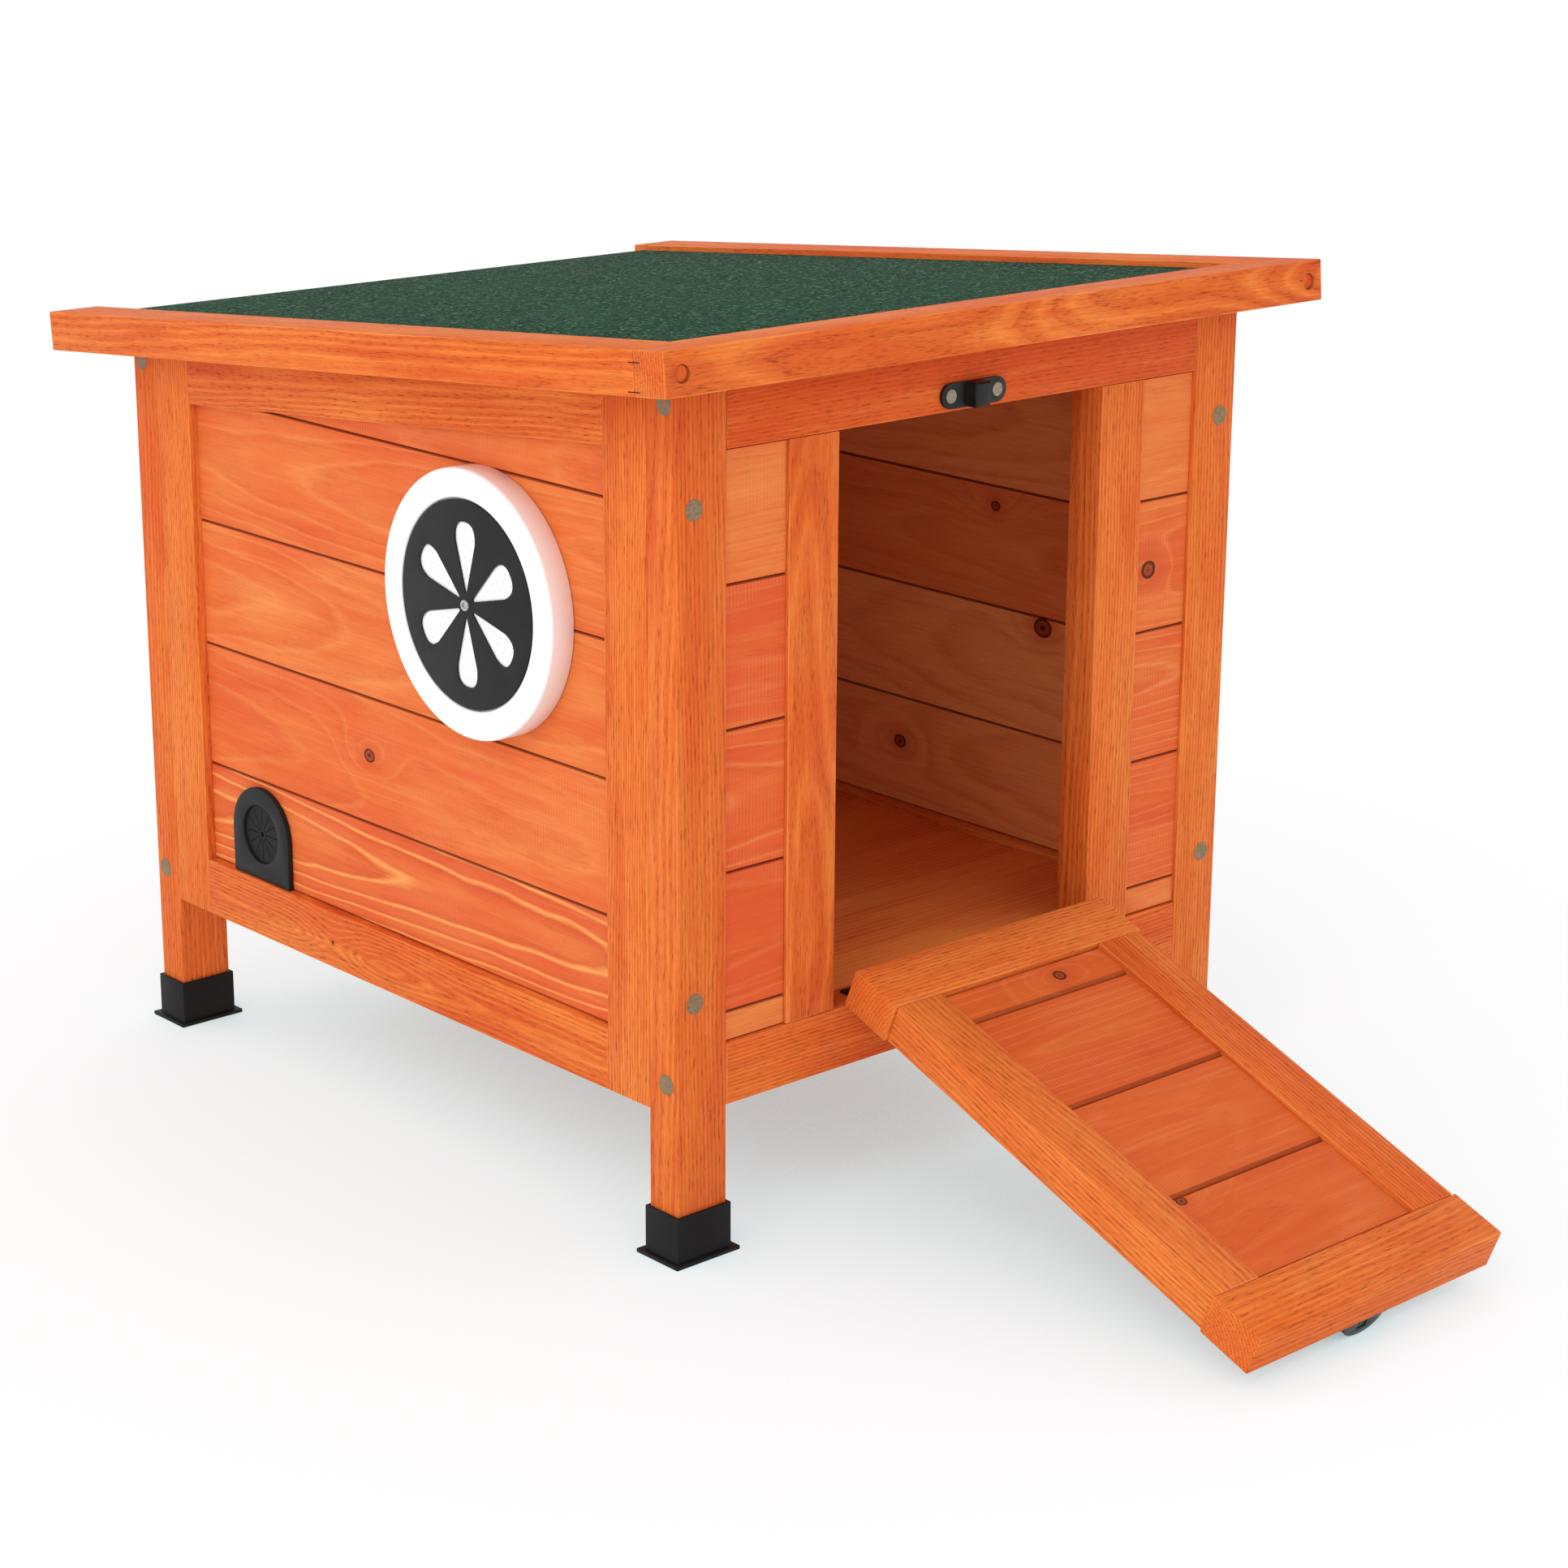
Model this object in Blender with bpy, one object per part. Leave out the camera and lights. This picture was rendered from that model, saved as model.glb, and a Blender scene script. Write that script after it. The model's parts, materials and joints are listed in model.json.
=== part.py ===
"""Small wooden rabbit hutch with a felted lean-to roof and a drop-down door that is also the ramp.

Metres, +Z up. The doorway faces -Y and the round vent is on the -X side. The origin is on the
ground, under the middle of the whole hutch with its ramp let down.

Empties carry the pieces. hutch_frame stands at the front face of the posts. roof_frame and
ramp_frame stand on their hinges' pins and turn with the roof and the door; roof_pins and
ramp_pins stand there too and hold the leaves that stay still. vent_frame and port_frame lie on
the left wall's boards. Inside ramp_frame the door is drawn as it stands when shut, and the
empty's rotation lets it down.
"""

import math

import bmesh
import bpy

# Driving dimensions of the body
BODY_WIDTH = 0.364
BODY_DEPTH = 0.436
POST_WIDTH = 0.029
BATTEN_WIDTH = 0.030
BATTEN_THICKNESS = 0.020
FRAME_BOTTOM = 0.072
DOORWAY_WIDTH = 0.172
DOORWAY_HEIGHT = 0.276
BOARD_THICKNESS = 0.008
SIDE_RECESS = 0.0049
FRONT_RECESS = 0.002
BACK_RECESS = 0.005
FLOOR_DROP = 0.0025
FLOOR_THICKNESS = 0.010
GAP = 0.0003

# How far cutters run past what they cut, and joined solids into each other
OVERRUN = 0.005
WELD = 0.001

# Roof
ROOF_TOP = 0.4305
ROOF_SLOPE = math.radians(5.0)
ROOF_SIDE_OVERHANG = 0.0296
ROOF_FRONT_OVERHANG = 0.027
ROOF_BACK_OVERHANG = 0.0325
ROOF_BATTEN_WIDTH = 0.029
ROOF_BATTEN_HEIGHT = 0.020
ROOF_LIP = 0.010
FELT_DROP = 0.003
FELT_THICKNESS = 0.002
DECK_THICKNESS = 0.012
FELT_SHORTFALL = 0.0075

# Boards: heights of the seams above the ground, and the V grooves that mark them
SIDE_SEAMS = [0.1551 + 0.0654 * course for course in range(4)]
FRONT_SEAMS = [0.1166 + 0.0667 * course for course in range(4)]
GROOVE_WIDTH = 0.002
GROOVE_DEPTH = 0.0013

# Foot caps
CAP_HEIGHT = 0.024
CAP_WALL = 0.0014
CAP_FLOOR = 0.002
CAP_FLANGE = 0.003

# Drop-down door (the ramp)
RAMP_WIDTH = 0.167
RAMP_LENGTH = 0.270
RAMP_PANEL_RECESS = 0.0022
RAMP_BOARD_THICKNESS = 0.010
RAMP_BOARD_COUNT = 4
RAMP_FIRST_BOARD = 0.0216
RAMP_BOARD_PITCH = 0.0667
RAMP_RAIL_INSET = 0.0018
RAMP_HINGE_BATTEN = 0.0290

# Butt hinges
KNUCKLE_RADIUS = 0.0022
LEAF_THICKNESS = 0.001
LEAF_OFFSET = 0.0002
LEAF_DEPTH = 0.015
HINGE_LENGTH = 0.028
RAMP_HINGE_X = 0.054
ROOF_HINGE_X = 0.110
PIN_RADIUS = 0.0009
BORE_RADIUS = 0.0012
PIN_INSET = 0.002
OUTER_KNUCKLES = [(0.0, 0.33), (0.67, 1.0)]
MIDDLE_KNUCKLE = [(0.345, 0.655)]

# Latch on the door and its keeper on the top rail
LATCH_X = -0.003
PLATE_LENGTH = 0.042
PLATE_WIDTH = 0.012
PLATE_THICKNESS = 0.0015
KEEPER_HEIGHT = 0.3855
KEEPER_BLOCK = (0.0095, 0.0080)
KEEPER_BLOCK_INSET = 0.0002
KEEPER_CEILING = 0.0018
SOCKET = (0.0066, 0.0048)
LATCH_INSET = 0.001
GUIDE_WIDTH = 0.027
GUIDE_RISE = 0.0090
BOLT_WIDTH = 0.0054
BOLT_THICKNESS = 0.0032
BOLT_TRAVEL = 0.012
KNOB_WIDTH = 0.010
KNOB_LENGTH = 0.005
BOLT_STEP = 0.0005
FLOOR_CLEARANCE = 0.0004

# Round vent on the left wall
VENT_Y = 0.1414
VENT_HEIGHT = 0.2879
VENT_RADIUS = 0.0644
VENT_PROUD = 0.0137
VENT_EDGE_ROUND = 0.004
SHUTTER_RADIUS = 0.0498
SHUTTER_THICKNESS = 0.002
SHUTTER_SINK = 0.0005
SHUTTER_CLEARANCE = 0.0006
SHUTTER_CHAMFER = 0.0004
GRILLE_RADIUS = 0.0422
GRILLE_THICKNESS = 0.002
SPIGOT_WALL = 0.002
SPIGOT_CLEARANCE = 0.0005
PETAL_COUNT = 6
PETAL_TIP = 0.0055
PETAL_TIP_HALF = 0.0005
PETAL_CENTRE = 0.032
PETAL_RADIUS = 0.0075
GRILLE_ROWS = (1, 2, 2, 3)
GRILLE_FIRST_ROW = 0.016
GRILLE_ROW_PITCH = 0.0058
GRILLE_HOLE_PITCH = 0.0038
GRILLE_HOLE_RADIUS = 0.0012
PIVOT_BORE = 0.0016
PIVOT_RADIUS = 0.0012
PIVOT_DEPTH = 0.003
SCREW_HEAD = ((0.0026, 0.0), (0.0018, 0.0008), (0.0, 0.0010))

# Cable port at the back foot of the left wall
PORT_Y = 0.3374
PORT_WIDTH = 0.050
PORT_THICKNESS = 0.003
DIAPHRAGM_RADIUS = 0.0155
DIAPHRAGM_THICKNESS = 0.0012
DIAPHRAGM_EYE = 0.0013
PASSAGE_LEDGE = 0.0025
SLIT_COUNT = 12
SLIT_WIDTH = 0.0004
SLIT_MARGINS = (0.0012, 0.002)

# Colours: linear RGB, roughness, metallic
FINISHES = {
    "stained_batten": ((0.80, 0.19, 0.035), 0.55, 0.0),
    "stained_board": ((0.76, 0.15, 0.035), 0.50, 0.0),
    "floor_ply": ((0.42, 0.10, 0.025), 0.60, 0.0),
    "roof_felt": ((0.018, 0.075, 0.045), 0.95, 0.0),
    "black_plastic": ((0.012, 0.012, 0.013), 0.45, 0.0),
    "white_plastic": ((0.85, 0.86, 0.88), 0.35, 0.0),
    "black_metal": ((0.015, 0.016, 0.018), 0.35, 0.6),
    "bare_steel": ((0.55, 0.52, 0.47), 0.35, 1.0),
    "black_rubber": ((0.010, 0.010, 0.010), 0.70, 0.0),
}

# Derived values
HALF_WIDTH = BODY_WIDTH / 2
OPENING_BOTTOM = FRAME_BOTTOM + BATTEN_WIDTH
OPENING_TOP = OPENING_BOTTOM + DOORWAY_HEIGHT
POST_INNER = HALF_WIDTH - POST_WIDTH
JAMB_INNER = DOORWAY_WIDTH / 2
JAMB_OUTER = JAMB_INNER + BATTEN_WIDTH
STILE_FRONT = BATTEN_THICKNESS + BATTEN_WIDTH
STILE_BACK = BODY_DEPTH - BATTEN_THICKNESS - BATTEN_WIDTH
HINGE_STANDOFF = KNUCKLE_RADIUS + GAP
DECK_UNDERSIDE = FELT_DROP + FELT_THICKNESS + GAP + DECK_THICKNESS
HINGE_GAP = 2 * (LEAF_THICKNESS + LEAF_OFFSET + GAP)
RAMP_PIN_HEIGHT = OPENING_BOTTOM + HINGE_GAP / 2
FLOOR_TOP = OPENING_BOTTOM - FLOOR_DROP


def below_roof(depth, distance):
    """Height at that depth of the plane lying the distance under the tops of the roof battens."""
    drop = (depth + ROOF_FRONT_OVERHANG) * math.tan(ROOF_SLOPE)
    return ROOF_TOP - drop - distance / math.cos(ROOF_SLOPE)


def wall_top(depth):
    return below_roof(depth, DECK_UNDERSIDE + GAP)


def side_rail_low(depth):
    return wall_top(depth) - BATTEN_WIDTH / math.cos(ROOF_SLOPE)


# The roof turns about pins behind the back wall, under the deck
ROOF_PIN_DEPTH = BODY_DEPTH + HINGE_STANDOFF
ROOF_PIN_HEIGHT = below_roof(ROOF_PIN_DEPTH, DECK_UNDERSIDE + HINGE_STANDOFF)
ROOF_PLANE = DECK_UNDERSIDE + HINGE_STANDOFF
ROOF_REACH = (ROOF_PIN_DEPTH + ROOF_FRONT_OVERHANG) / math.cos(ROOF_SLOPE)
ROOF_REACH += ROOF_PLANE * math.tan(ROOF_SLOPE)
ROOF_BACK = BODY_DEPTH + ROOF_BACK_OVERHANG
ROOF_TAIL = (ROOF_BACK - ROOF_PIN_DEPTH) / math.cos(ROOF_SLOPE) - ROOF_PLANE * math.tan(ROOF_SLOPE)

# The let-down ramp rests on the crest of its latch, just clear of the ground
DOOR_FOOT = HINGE_GAP / 2
DOOR_FACE = HINGE_STANDOFF
DOOR_END = DOOR_FOOT + RAMP_LENGTH
CREST_REACH = DOOR_END - LATCH_INSET
CREST_DEPTH = GUIDE_RISE + GAP - DOOR_FACE
RAMP_TILT = math.asin(
    (RAMP_PIN_HEIGHT - FLOOR_CLEARANCE) / math.hypot(CREST_REACH, CREST_DEPTH)
) - math.atan2(CREST_DEPTH, CREST_REACH)

# The front face stands where the whole hutch, ramp included, is centred on the origin
RAMP_TIP = (
    -HINGE_STANDOFF
    - math.cos(RAMP_TILT) * DOOR_END
    - math.sin(RAMP_TILT) * (DOOR_FACE + BATTEN_THICKNESS)
)
FRONT_FACE = -(RAMP_TIP + ROOF_BACK) / 2


def clear_scene():
    for item in list(bpy.data.objects):
        bpy.data.objects.remove(item, do_unlink=True)


def make_materials():
    made = {}
    for name, (colour, roughness, metallic) in FINISHES.items():
        material = bpy.data.materials.new(name)
        material.use_nodes = True
        shader = material.node_tree.nodes["Principled BSDF"]
        shader.inputs["Base Color"].default_value = (*colour, 1.0)
        shader.inputs["Roughness"].default_value = roughness
        shader.inputs["Metallic"].default_value = metallic
        made[name] = material
    return made


def make_empty(name, location, rotation=(0.0, 0.0, 0.0), parent=None):
    empty = bpy.data.objects.new(name, None)
    empty.location = location
    empty.rotation_euler = rotation
    empty.parent = parent
    bpy.context.scene.collection.objects.link(empty)
    return empty


def finish_mesh(name, mesh_data, finish, parent, smooth=False):
    """Turn a bmesh into an object with the finish, faces pointing out."""
    bmesh.ops.recalc_face_normals(mesh_data, faces=mesh_data.faces)
    mesh = bpy.data.meshes.new(name)
    mesh_data.to_mesh(mesh)
    mesh_data.free()
    if smooth:
        mesh.shade_smooth()
        mesh.set_sharp_from_angle(angle=math.radians(35))
    if finish:
        mesh.materials.append(MATERIALS[finish])
    made = bpy.data.objects.new(name, mesh)
    made.parent = parent
    bpy.context.scene.collection.objects.link(made)
    return made


def add_prism(mesh_data, outline, axis, low, high):
    """Extrude an outline along axis 0, 1 or 2; its points hold the other two coordinates."""
    ends = []
    for level in (low, high):
        ring = []
        for first, second in outline:
            point = [first, second]
            point.insert(axis, level)
            ring.append(mesh_data.verts.new(point))
        ends.append(ring)
    lower, upper = ends
    count = len(outline)
    mesh_data.faces.new(lower)
    mesh_data.faces.new(upper)
    for i in range(count):
        j = (i + 1) % count
        mesh_data.faces.new((lower[i], lower[j], upper[j], upper[i]))


def prism(name, outline, axis, low, high, finish, parent, smooth=False):
    mesh_data = bmesh.new()
    add_prism(mesh_data, outline, axis, low, high)
    return finish_mesh(name, mesh_data, finish, parent, smooth)


def rectangle(first, second):
    (a, b), (c, d) = sorted(first), sorted(second)
    return [(a, c), (b, c), (b, d), (a, d)]


def box(name, x, y, z, finish, parent):
    low, high = sorted(x)
    return prism(name, rectangle(y, z), 0, low, high, finish, parent)


def arc(centre, radius, start, end, steps):
    """Points along an arc, angles in degrees."""
    points = []
    for i in range(steps + 1):
        angle = math.radians(start + (end - start) * i / steps)
        x = centre[0] + radius * math.cos(angle)
        y = centre[1] + radius * math.sin(angle)
        points.append((x, y))
    return points


def turned(name, profile, segments, finish, parent):
    """Turn a closed profile of (radius, height) points about local Z."""
    mesh_data = bmesh.new()
    rings = []
    for radius, height in profile:
        if radius == 0:
            rings.append([mesh_data.verts.new((0, 0, height))])
            continue
        ring = []
        for i in range(segments):
            angle = math.tau * i / segments
            ring.append(mesh_data.verts.new((radius * math.cos(angle), radius * math.sin(angle), height)))
        rings.append(ring)
    for index, ring in enumerate(rings):
        other = rings[(index + 1) % len(rings)]
        if len(ring) == 1 and len(other) == 1:
            continue
        for i in range(segments):
            j = (i + 1) % segments
            corners = [ring[i % len(ring)], ring[j % len(ring)], other[j % len(other)], other[i % len(other)]]
            mesh_data.faces.new(list(dict.fromkeys(corners)))
    return finish_mesh(name, mesh_data, finish, parent, smooth=True)


def hide_tool(tool):
    tool.hide_render = True
    tool.display_type = "WIRE"


def combine(target, tool, operation):
    """Cut with, or join on, a tool object that is itself left out of the model."""
    hide_tool(tool)
    modifier = target.modifiers.new(f"{operation.lower()}_{tool.name}", "BOOLEAN")
    modifier.operation = operation
    modifier.solver = "EXACT"
    modifier.object = tool


# Body frame

def build_posts(parent):
    """Four posts standing in black plastic foot caps."""
    for side, side_name in ((-1, "left"), (1, "right")):
        for depth, depth_name in ((0.0, "front"), (BODY_DEPTH - BATTEN_THICKNESS, "back")):
            x = sorted((side * HALF_WIDTH, side * POST_INNER))
            near, far = depth, depth + BATTEN_THICKNESS
            foot = CAP_FLOOR + GAP
            outline = [(near, foot), (far, foot), (far, wall_top(far)), (near, wall_top(near))]
            prism(f"post_{depth_name}_{side_name}", outline, 0, *x, "stained_batten", parent)
            centre = (sum(x) / 2, depth + BATTEN_THICKNESS / 2)
            foot_cap(f"foot_cap_{depth_name}_{side_name}", centre, parent)


def foot_cap(name, centre, parent):
    """A cup with a flange round its foot: rectangles stacked from outside to inside."""
    inner = GAP
    outer = inner + CAP_WALL
    flange = outer + CAP_FLANGE
    levels = [
        (flange, 0.0),
        (flange, CAP_FLOOR),
        (outer, CAP_FLOOR),
        (outer, CAP_HEIGHT),
        (inner, CAP_HEIGHT),
        (inner, CAP_FLOOR),
    ]
    mesh_data = bmesh.new()
    rings = []
    for margin, height in levels:
        half_x = POST_WIDTH / 2 + margin
        half_y = BATTEN_THICKNESS / 2 + margin
        corners = rectangle((-half_x, half_x), (-half_y, half_y))
        rings.append([mesh_data.verts.new((x, y, height)) for x, y in corners])
    for ring, other in zip(rings, rings[1:]):
        for i in range(4):
            j = (i + 1) % 4
            mesh_data.faces.new((ring[i], ring[j], other[j], other[i]))
    mesh_data.faces.new(rings[0])
    mesh_data.faces.new(rings[-1])
    cap = finish_mesh(name, mesh_data, "black_plastic", parent)
    cap.location = (*centre, 0.0)


def build_front(parent):
    """Top rail, sill and two jambs round the doorway, with a narrow boarded strip each side."""
    span = (-POST_INNER + GAP, POST_INNER - GAP)
    front, back = 0.0, BATTEN_THICKNESS
    top = [(front, OPENING_TOP), (back, OPENING_TOP), (back, wall_top(back)), (front, wall_top(front))]
    prism("front_top_rail", top, 0, *span, "stained_batten", parent)
    box("front_sill", span, (front, back), (FRAME_BOTTOM, OPENING_BOTTOM), "stained_batten", parent)
    heights = (OPENING_BOTTOM + GAP, OPENING_TOP - GAP)
    for side, name in ((-1, "left"), (1, "right")):
        x = (side * JAMB_INNER, side * JAMB_OUTER)
        box(f"door_jamb_{name}", x, (front, back), heights, "stained_batten", parent)
        strip = (side * (JAMB_OUTER + GAP), side * (POST_INNER - GAP))
        depths = (FRONT_RECESS, FRONT_RECESS + BOARD_THICKNESS)
        boards = box(f"front_boards_{name}", strip, depths, heights, "stained_board", parent)
        cut_grooves(boards, 0, sorted(strip), depths, FRONT_SEAMS, parent)


def cut_grooves(boards, along, span, faces, seams, parent):
    """V grooves on both faces along each seam; along is the axis that they run on."""
    tools = bmesh.new()
    for face, outward in zip(faces, (-1, 1)):
        for seam in seams:
            mouth = face + outward * OVERRUN
            half = GROOVE_WIDTH / 2 * (1 + OVERRUN / GROOVE_DEPTH)
            tip = face - outward * GROOVE_DEPTH
            outline = [(mouth, seam - half), (mouth, seam + half), (tip, seam)]
            add_prism(tools, outline, along, span[0] - OVERRUN, span[1] + OVERRUN)
    cutter = finish_mesh(f"{boards.name}_grooves", tools, None, parent)
    combine(boards, cutter, "DIFFERENCE")


def build_side(side, name, parent):
    """Side wall between the posts: two stiles, a bottom rail, a sloping top rail and boards."""
    thickness = sorted((side * HALF_WIDTH, side * (HALF_WIDTH - BATTEN_THICKNESS)))
    front_stile = (BATTEN_THICKNESS + GAP, STILE_FRONT)
    back_stile = (STILE_BACK, BODY_DEPTH - BATTEN_THICKNESS - GAP)
    for (near, far), end in ((front_stile, "front"), (back_stile, "back")):
        top_near, top_far = wall_top(near), wall_top(far)
        outline = [(near, FRAME_BOTTOM), (far, FRAME_BOTTOM), (far, top_far), (near, top_near)]
        prism(f"{name}_stile_{end}", outline, 0, *thickness, "stained_batten", parent)
    near, far = STILE_FRONT + GAP, STILE_BACK - GAP
    bottom = rectangle((near, far), (FRAME_BOTTOM, OPENING_BOTTOM))
    prism(f"{name}_bottom_rail", bottom, 0, *thickness, "stained_batten", parent)
    low = [(near, side_rail_low(near)), (far, side_rail_low(far))]
    high = [(far, wall_top(far)), (near, wall_top(near))]
    prism(f"{name}_top_rail", low + high, 0, *thickness, "stained_batten", parent)
    outer = HALF_WIDTH - SIDE_RECESS
    faces = sorted((side * outer, side * (outer - BOARD_THICKNESS)))
    foot = OPENING_BOTTOM + GAP
    outline = [(near, foot), (far, foot), (far, side_rail_low(far) - GAP), (near, side_rail_low(near) - GAP)]
    boards = prism(f"{name}_boards", outline, 0, *faces, "stained_board", parent)
    cut_grooves(boards, 1, (near, far), faces, SIDE_SEAMS, parent)
    return boards


def build_back(parent):
    """Back wall between the back posts."""
    front, back = BODY_DEPTH - BATTEN_THICKNESS, BODY_DEPTH
    span = (-POST_INNER + GAP, POST_INNER - GAP)
    rail_low = wall_top(back) - BATTEN_WIDTH
    top = [(front, rail_low), (back, rail_low), (back, wall_top(back)), (front, wall_top(front))]
    prism("back_top_rail", top, 0, *span, "stained_batten", parent)
    box("back_bottom_rail", span, (front, back), (FRAME_BOTTOM, OPENING_BOTTOM), "stained_batten", parent)
    heights = (OPENING_BOTTOM + GAP, rail_low - GAP)
    inner = POST_INNER - BATTEN_WIDTH
    for side, name in ((-1, "left"), (1, "right")):
        x = (side * (POST_INNER - GAP), side * inner)
        box(f"back_stile_{name}", x, (front, back), heights, "stained_batten", parent)
    strip = (-inner + GAP, inner - GAP)
    depths = (back - BACK_RECESS - BOARD_THICKNESS, back - BACK_RECESS)
    boards = box("back_boards", strip, depths, heights, "stained_board", parent)
    cut_grooves(boards, 0, strip, depths, [z for z in SIDE_SEAMS if z < rail_low - 0.01], parent)


def build_floor(parent):
    half = HALF_WIDTH - BATTEN_THICKNESS - GAP
    depths = (BATTEN_THICKNESS + GAP, BODY_DEPTH - BATTEN_THICKNESS - GAP)
    box("floor_panel", (-half, half), depths, (FLOOR_TOP - FLOOR_THICKNESS, FLOOR_TOP), "floor_ply", parent)


# Roof, drawn level: local Y runs down the slope and 0 is the hinge pin

def build_roof(parent):
    top = ROOF_PLANE
    under = top - ROOF_BATTEN_HEIGHT
    front = -ROOF_REACH
    outer = HALF_WIDTH + ROOF_SIDE_OVERHANG
    inner = outer - ROOF_BATTEN_WIDTH
    shoulder = front + ROOF_BATTEN_HEIGHT
    for side, name in ((-1, "left"), (1, "right")):
        x = (side * inner, side * outer)
        y = (shoulder + GAP, ROOF_TAIL)
        box(f"roof_batten_{name}", x, y, (under, top), "stained_batten", parent)

    # The front batten's lip covers the edge of the felt between the side battens
    felt_top = top - FELT_DROP
    size = ((-outer, outer), (front, shoulder), (under, top))
    batten = box("roof_batten_front", *size, "stained_batten", parent)
    lip_span = (-inner + GAP, inner - GAP)
    lip_reach = (shoulder - ROOF_BATTEN_HEIGHT / 2, shoulder + ROOF_LIP)
    lip = box("roof_lip", lip_span, lip_reach, (felt_top + GAP, top), None, parent)
    combine(batten, lip, "UNION")

    deck_span = (-inner + GAP, inner - GAP)
    felt_low = felt_top - FELT_THICKNESS
    deck_top = felt_low - GAP
    edge = (shoulder + GAP, ROOF_TAIL - FELT_SHORTFALL)
    box("roof_felt", deck_span, edge, (felt_low, felt_top), "roof_felt", parent)
    box("roof_deck", deck_span, edge, (deck_top - DECK_THICKNESS, deck_top), "stained_board", parent)


# Drop-down door, drawn shut: local Z runs up the door and 0 is the hinge pin

def build_ramp(parent):
    half = RAMP_WIDTH / 2
    depths = (DOOR_FACE, DOOR_FACE + BATTEN_THICKNESS)
    foot, end = DOOR_FOOT, DOOR_END
    low = foot + RAMP_HINGE_BATTEN
    high = end - RAMP_HINGE_BATTEN
    box("ramp_hinge_batten", (-half, half), depths, (foot, low), "stained_batten", parent)
    box("ramp_end_batten", (-half, half), depths, (high, end), "stained_batten", parent)
    for side, name in ((-1, "left"), (1, "right")):
        x = (side * (half - RAMP_RAIL_INSET), side * (half - BATTEN_WIDTH))
        box(f"ramp_rail_{name}", x, depths, (low + GAP, high - GAP), "stained_batten", parent)
    inner = half - BATTEN_WIDTH - GAP
    tread = depths[1] - RAMP_PANEL_RECESS
    faces = (tread - RAMP_BOARD_THICKNESS, tread)
    seams = [low + RAMP_FIRST_BOARD + board * RAMP_BOARD_PITCH for board in range(RAMP_BOARD_COUNT - 1)]
    edges = [low, *seams, high]
    for board in range(RAMP_BOARD_COUNT):
        start = edges[board] + (0 if board else GAP)
        heights = (start, edges[board + 1] - GAP)
        box(f"ramp_board_{board + 1}", (-inner, inner), faces, heights, "stained_board", parent)


# Butt hinges: every leaf is a plate that runs off from the pin along one side of its barrel

def hinge_leaf(name, centre, plate, across, direction, side, knuckles, parent):
    """Leaf about the local X axis; the knuckles are shares of its length.

    direction is the unit (y, z) along the plate and side the unit (y, z) towards its back.
    plate holds how far from the pin it starts and ends, and across how far to its side it lies.
    """
    def place(points):
        return [
            (direction[0] * along + side[0] * off, direction[1] * along + side[1] * off)
            for along, off in points
        ]

    half = HINGE_LENGTH / 2
    near, far = across
    leaf = prism(name, place(rectangle(plate, across)), 0, -half, half, "black_metal", parent)
    leaf.location = (centre, 0.0, 0.0)
    root = plate[0] + WELD
    start = math.degrees(math.asin(min(far / KNUCKLE_RADIUS, 1.0)))
    end = 360 + math.degrees(math.asin(near / KNUCKLE_RADIUS))
    outline = [*arc((0, 0), KNUCKLE_RADIUS, start, end, 18), (root, near), (root, far)]
    barrel_data = bmesh.new()
    for low, high in knuckles:
        add_prism(barrel_data, place(outline), 0, low * HINGE_LENGTH - half, high * HINGE_LENGTH - half)
    barrel = finish_mesh(f"{name}_barrel", barrel_data, None, parent)
    barrel.location = leaf.location
    combine(leaf, barrel, "UNION")
    carries_pin = len(knuckles) > 1
    radius = PIN_RADIUS if carries_pin else BORE_RADIUS
    reach = half - PIN_INSET if carries_pin else half + OVERRUN
    pin = prism(f"{name}_pin", arc((0, 0), radius, 0, 330, 11), 0, -reach, reach, None, parent)
    pin.location = leaf.location
    combine(leaf, pin, "UNION" if carries_pin else "DIFFERENCE")


def build_hinges(ramp_pins, ramp, roof_pins, roof):
    """Pairs of butt hinges; the leaf with the pin stays on the body, the bored one moves."""
    start = KNUCKLE_RADIUS + GAP
    mortised = (LEAF_OFFSET, LEAF_OFFSET + LEAF_THICKNESS)
    surface = (KNUCKLE_RADIUS - LEAF_THICKNESS, KNUCKLE_RADIUS)
    plate = (start, start + LEAF_DEPTH)
    for sign, name in ((-1, "left"), (1, "right")):
        x = sign * RAMP_HINGE_X
        fixed = (f"sill_hinge_leaf_{name}", x, plate, mortised, (1, 0), (0, -1), OUTER_KNUCKLES)
        hinge_leaf(*fixed, ramp_pins)
        moving = (f"ramp_hinge_leaf_{name}", x, plate, mortised, (1, 0), (0, 1), MIDDLE_KNUCKLE)
        hinge_leaf(*moving, ramp)
        x = sign * ROOF_HINGE_X
        fixed = (f"wall_hinge_leaf_{name}", x, plate, surface, (0, -1), (-1, 0), OUTER_KNUCKLES)
        hinge_leaf(*fixed, roof_pins)
        moving = (f"roof_hinge_leaf_{name}", x, plate, surface, (1, 0), (0, 1), MIDDLE_KNUCKLE)
        hinge_leaf(*moving, roof)


# Slide bolt: base and bolt on the door's outer face, keeper on the top rail

def mounting_plate(name, height, back, parent):
    """Thin plate with round ends, its back at that local Y."""
    half = PLATE_LENGTH / 2 - PLATE_WIDTH / 2
    right = arc((LATCH_X + half, height), PLATE_WIDTH / 2, -90, 90, 8)
    left = arc((LATCH_X - half, height), PLATE_WIDTH / 2, 90, 270, 8)
    return prism(name, right + left, 1, back - PLATE_THICKNESS, back, "black_metal", parent)


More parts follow.
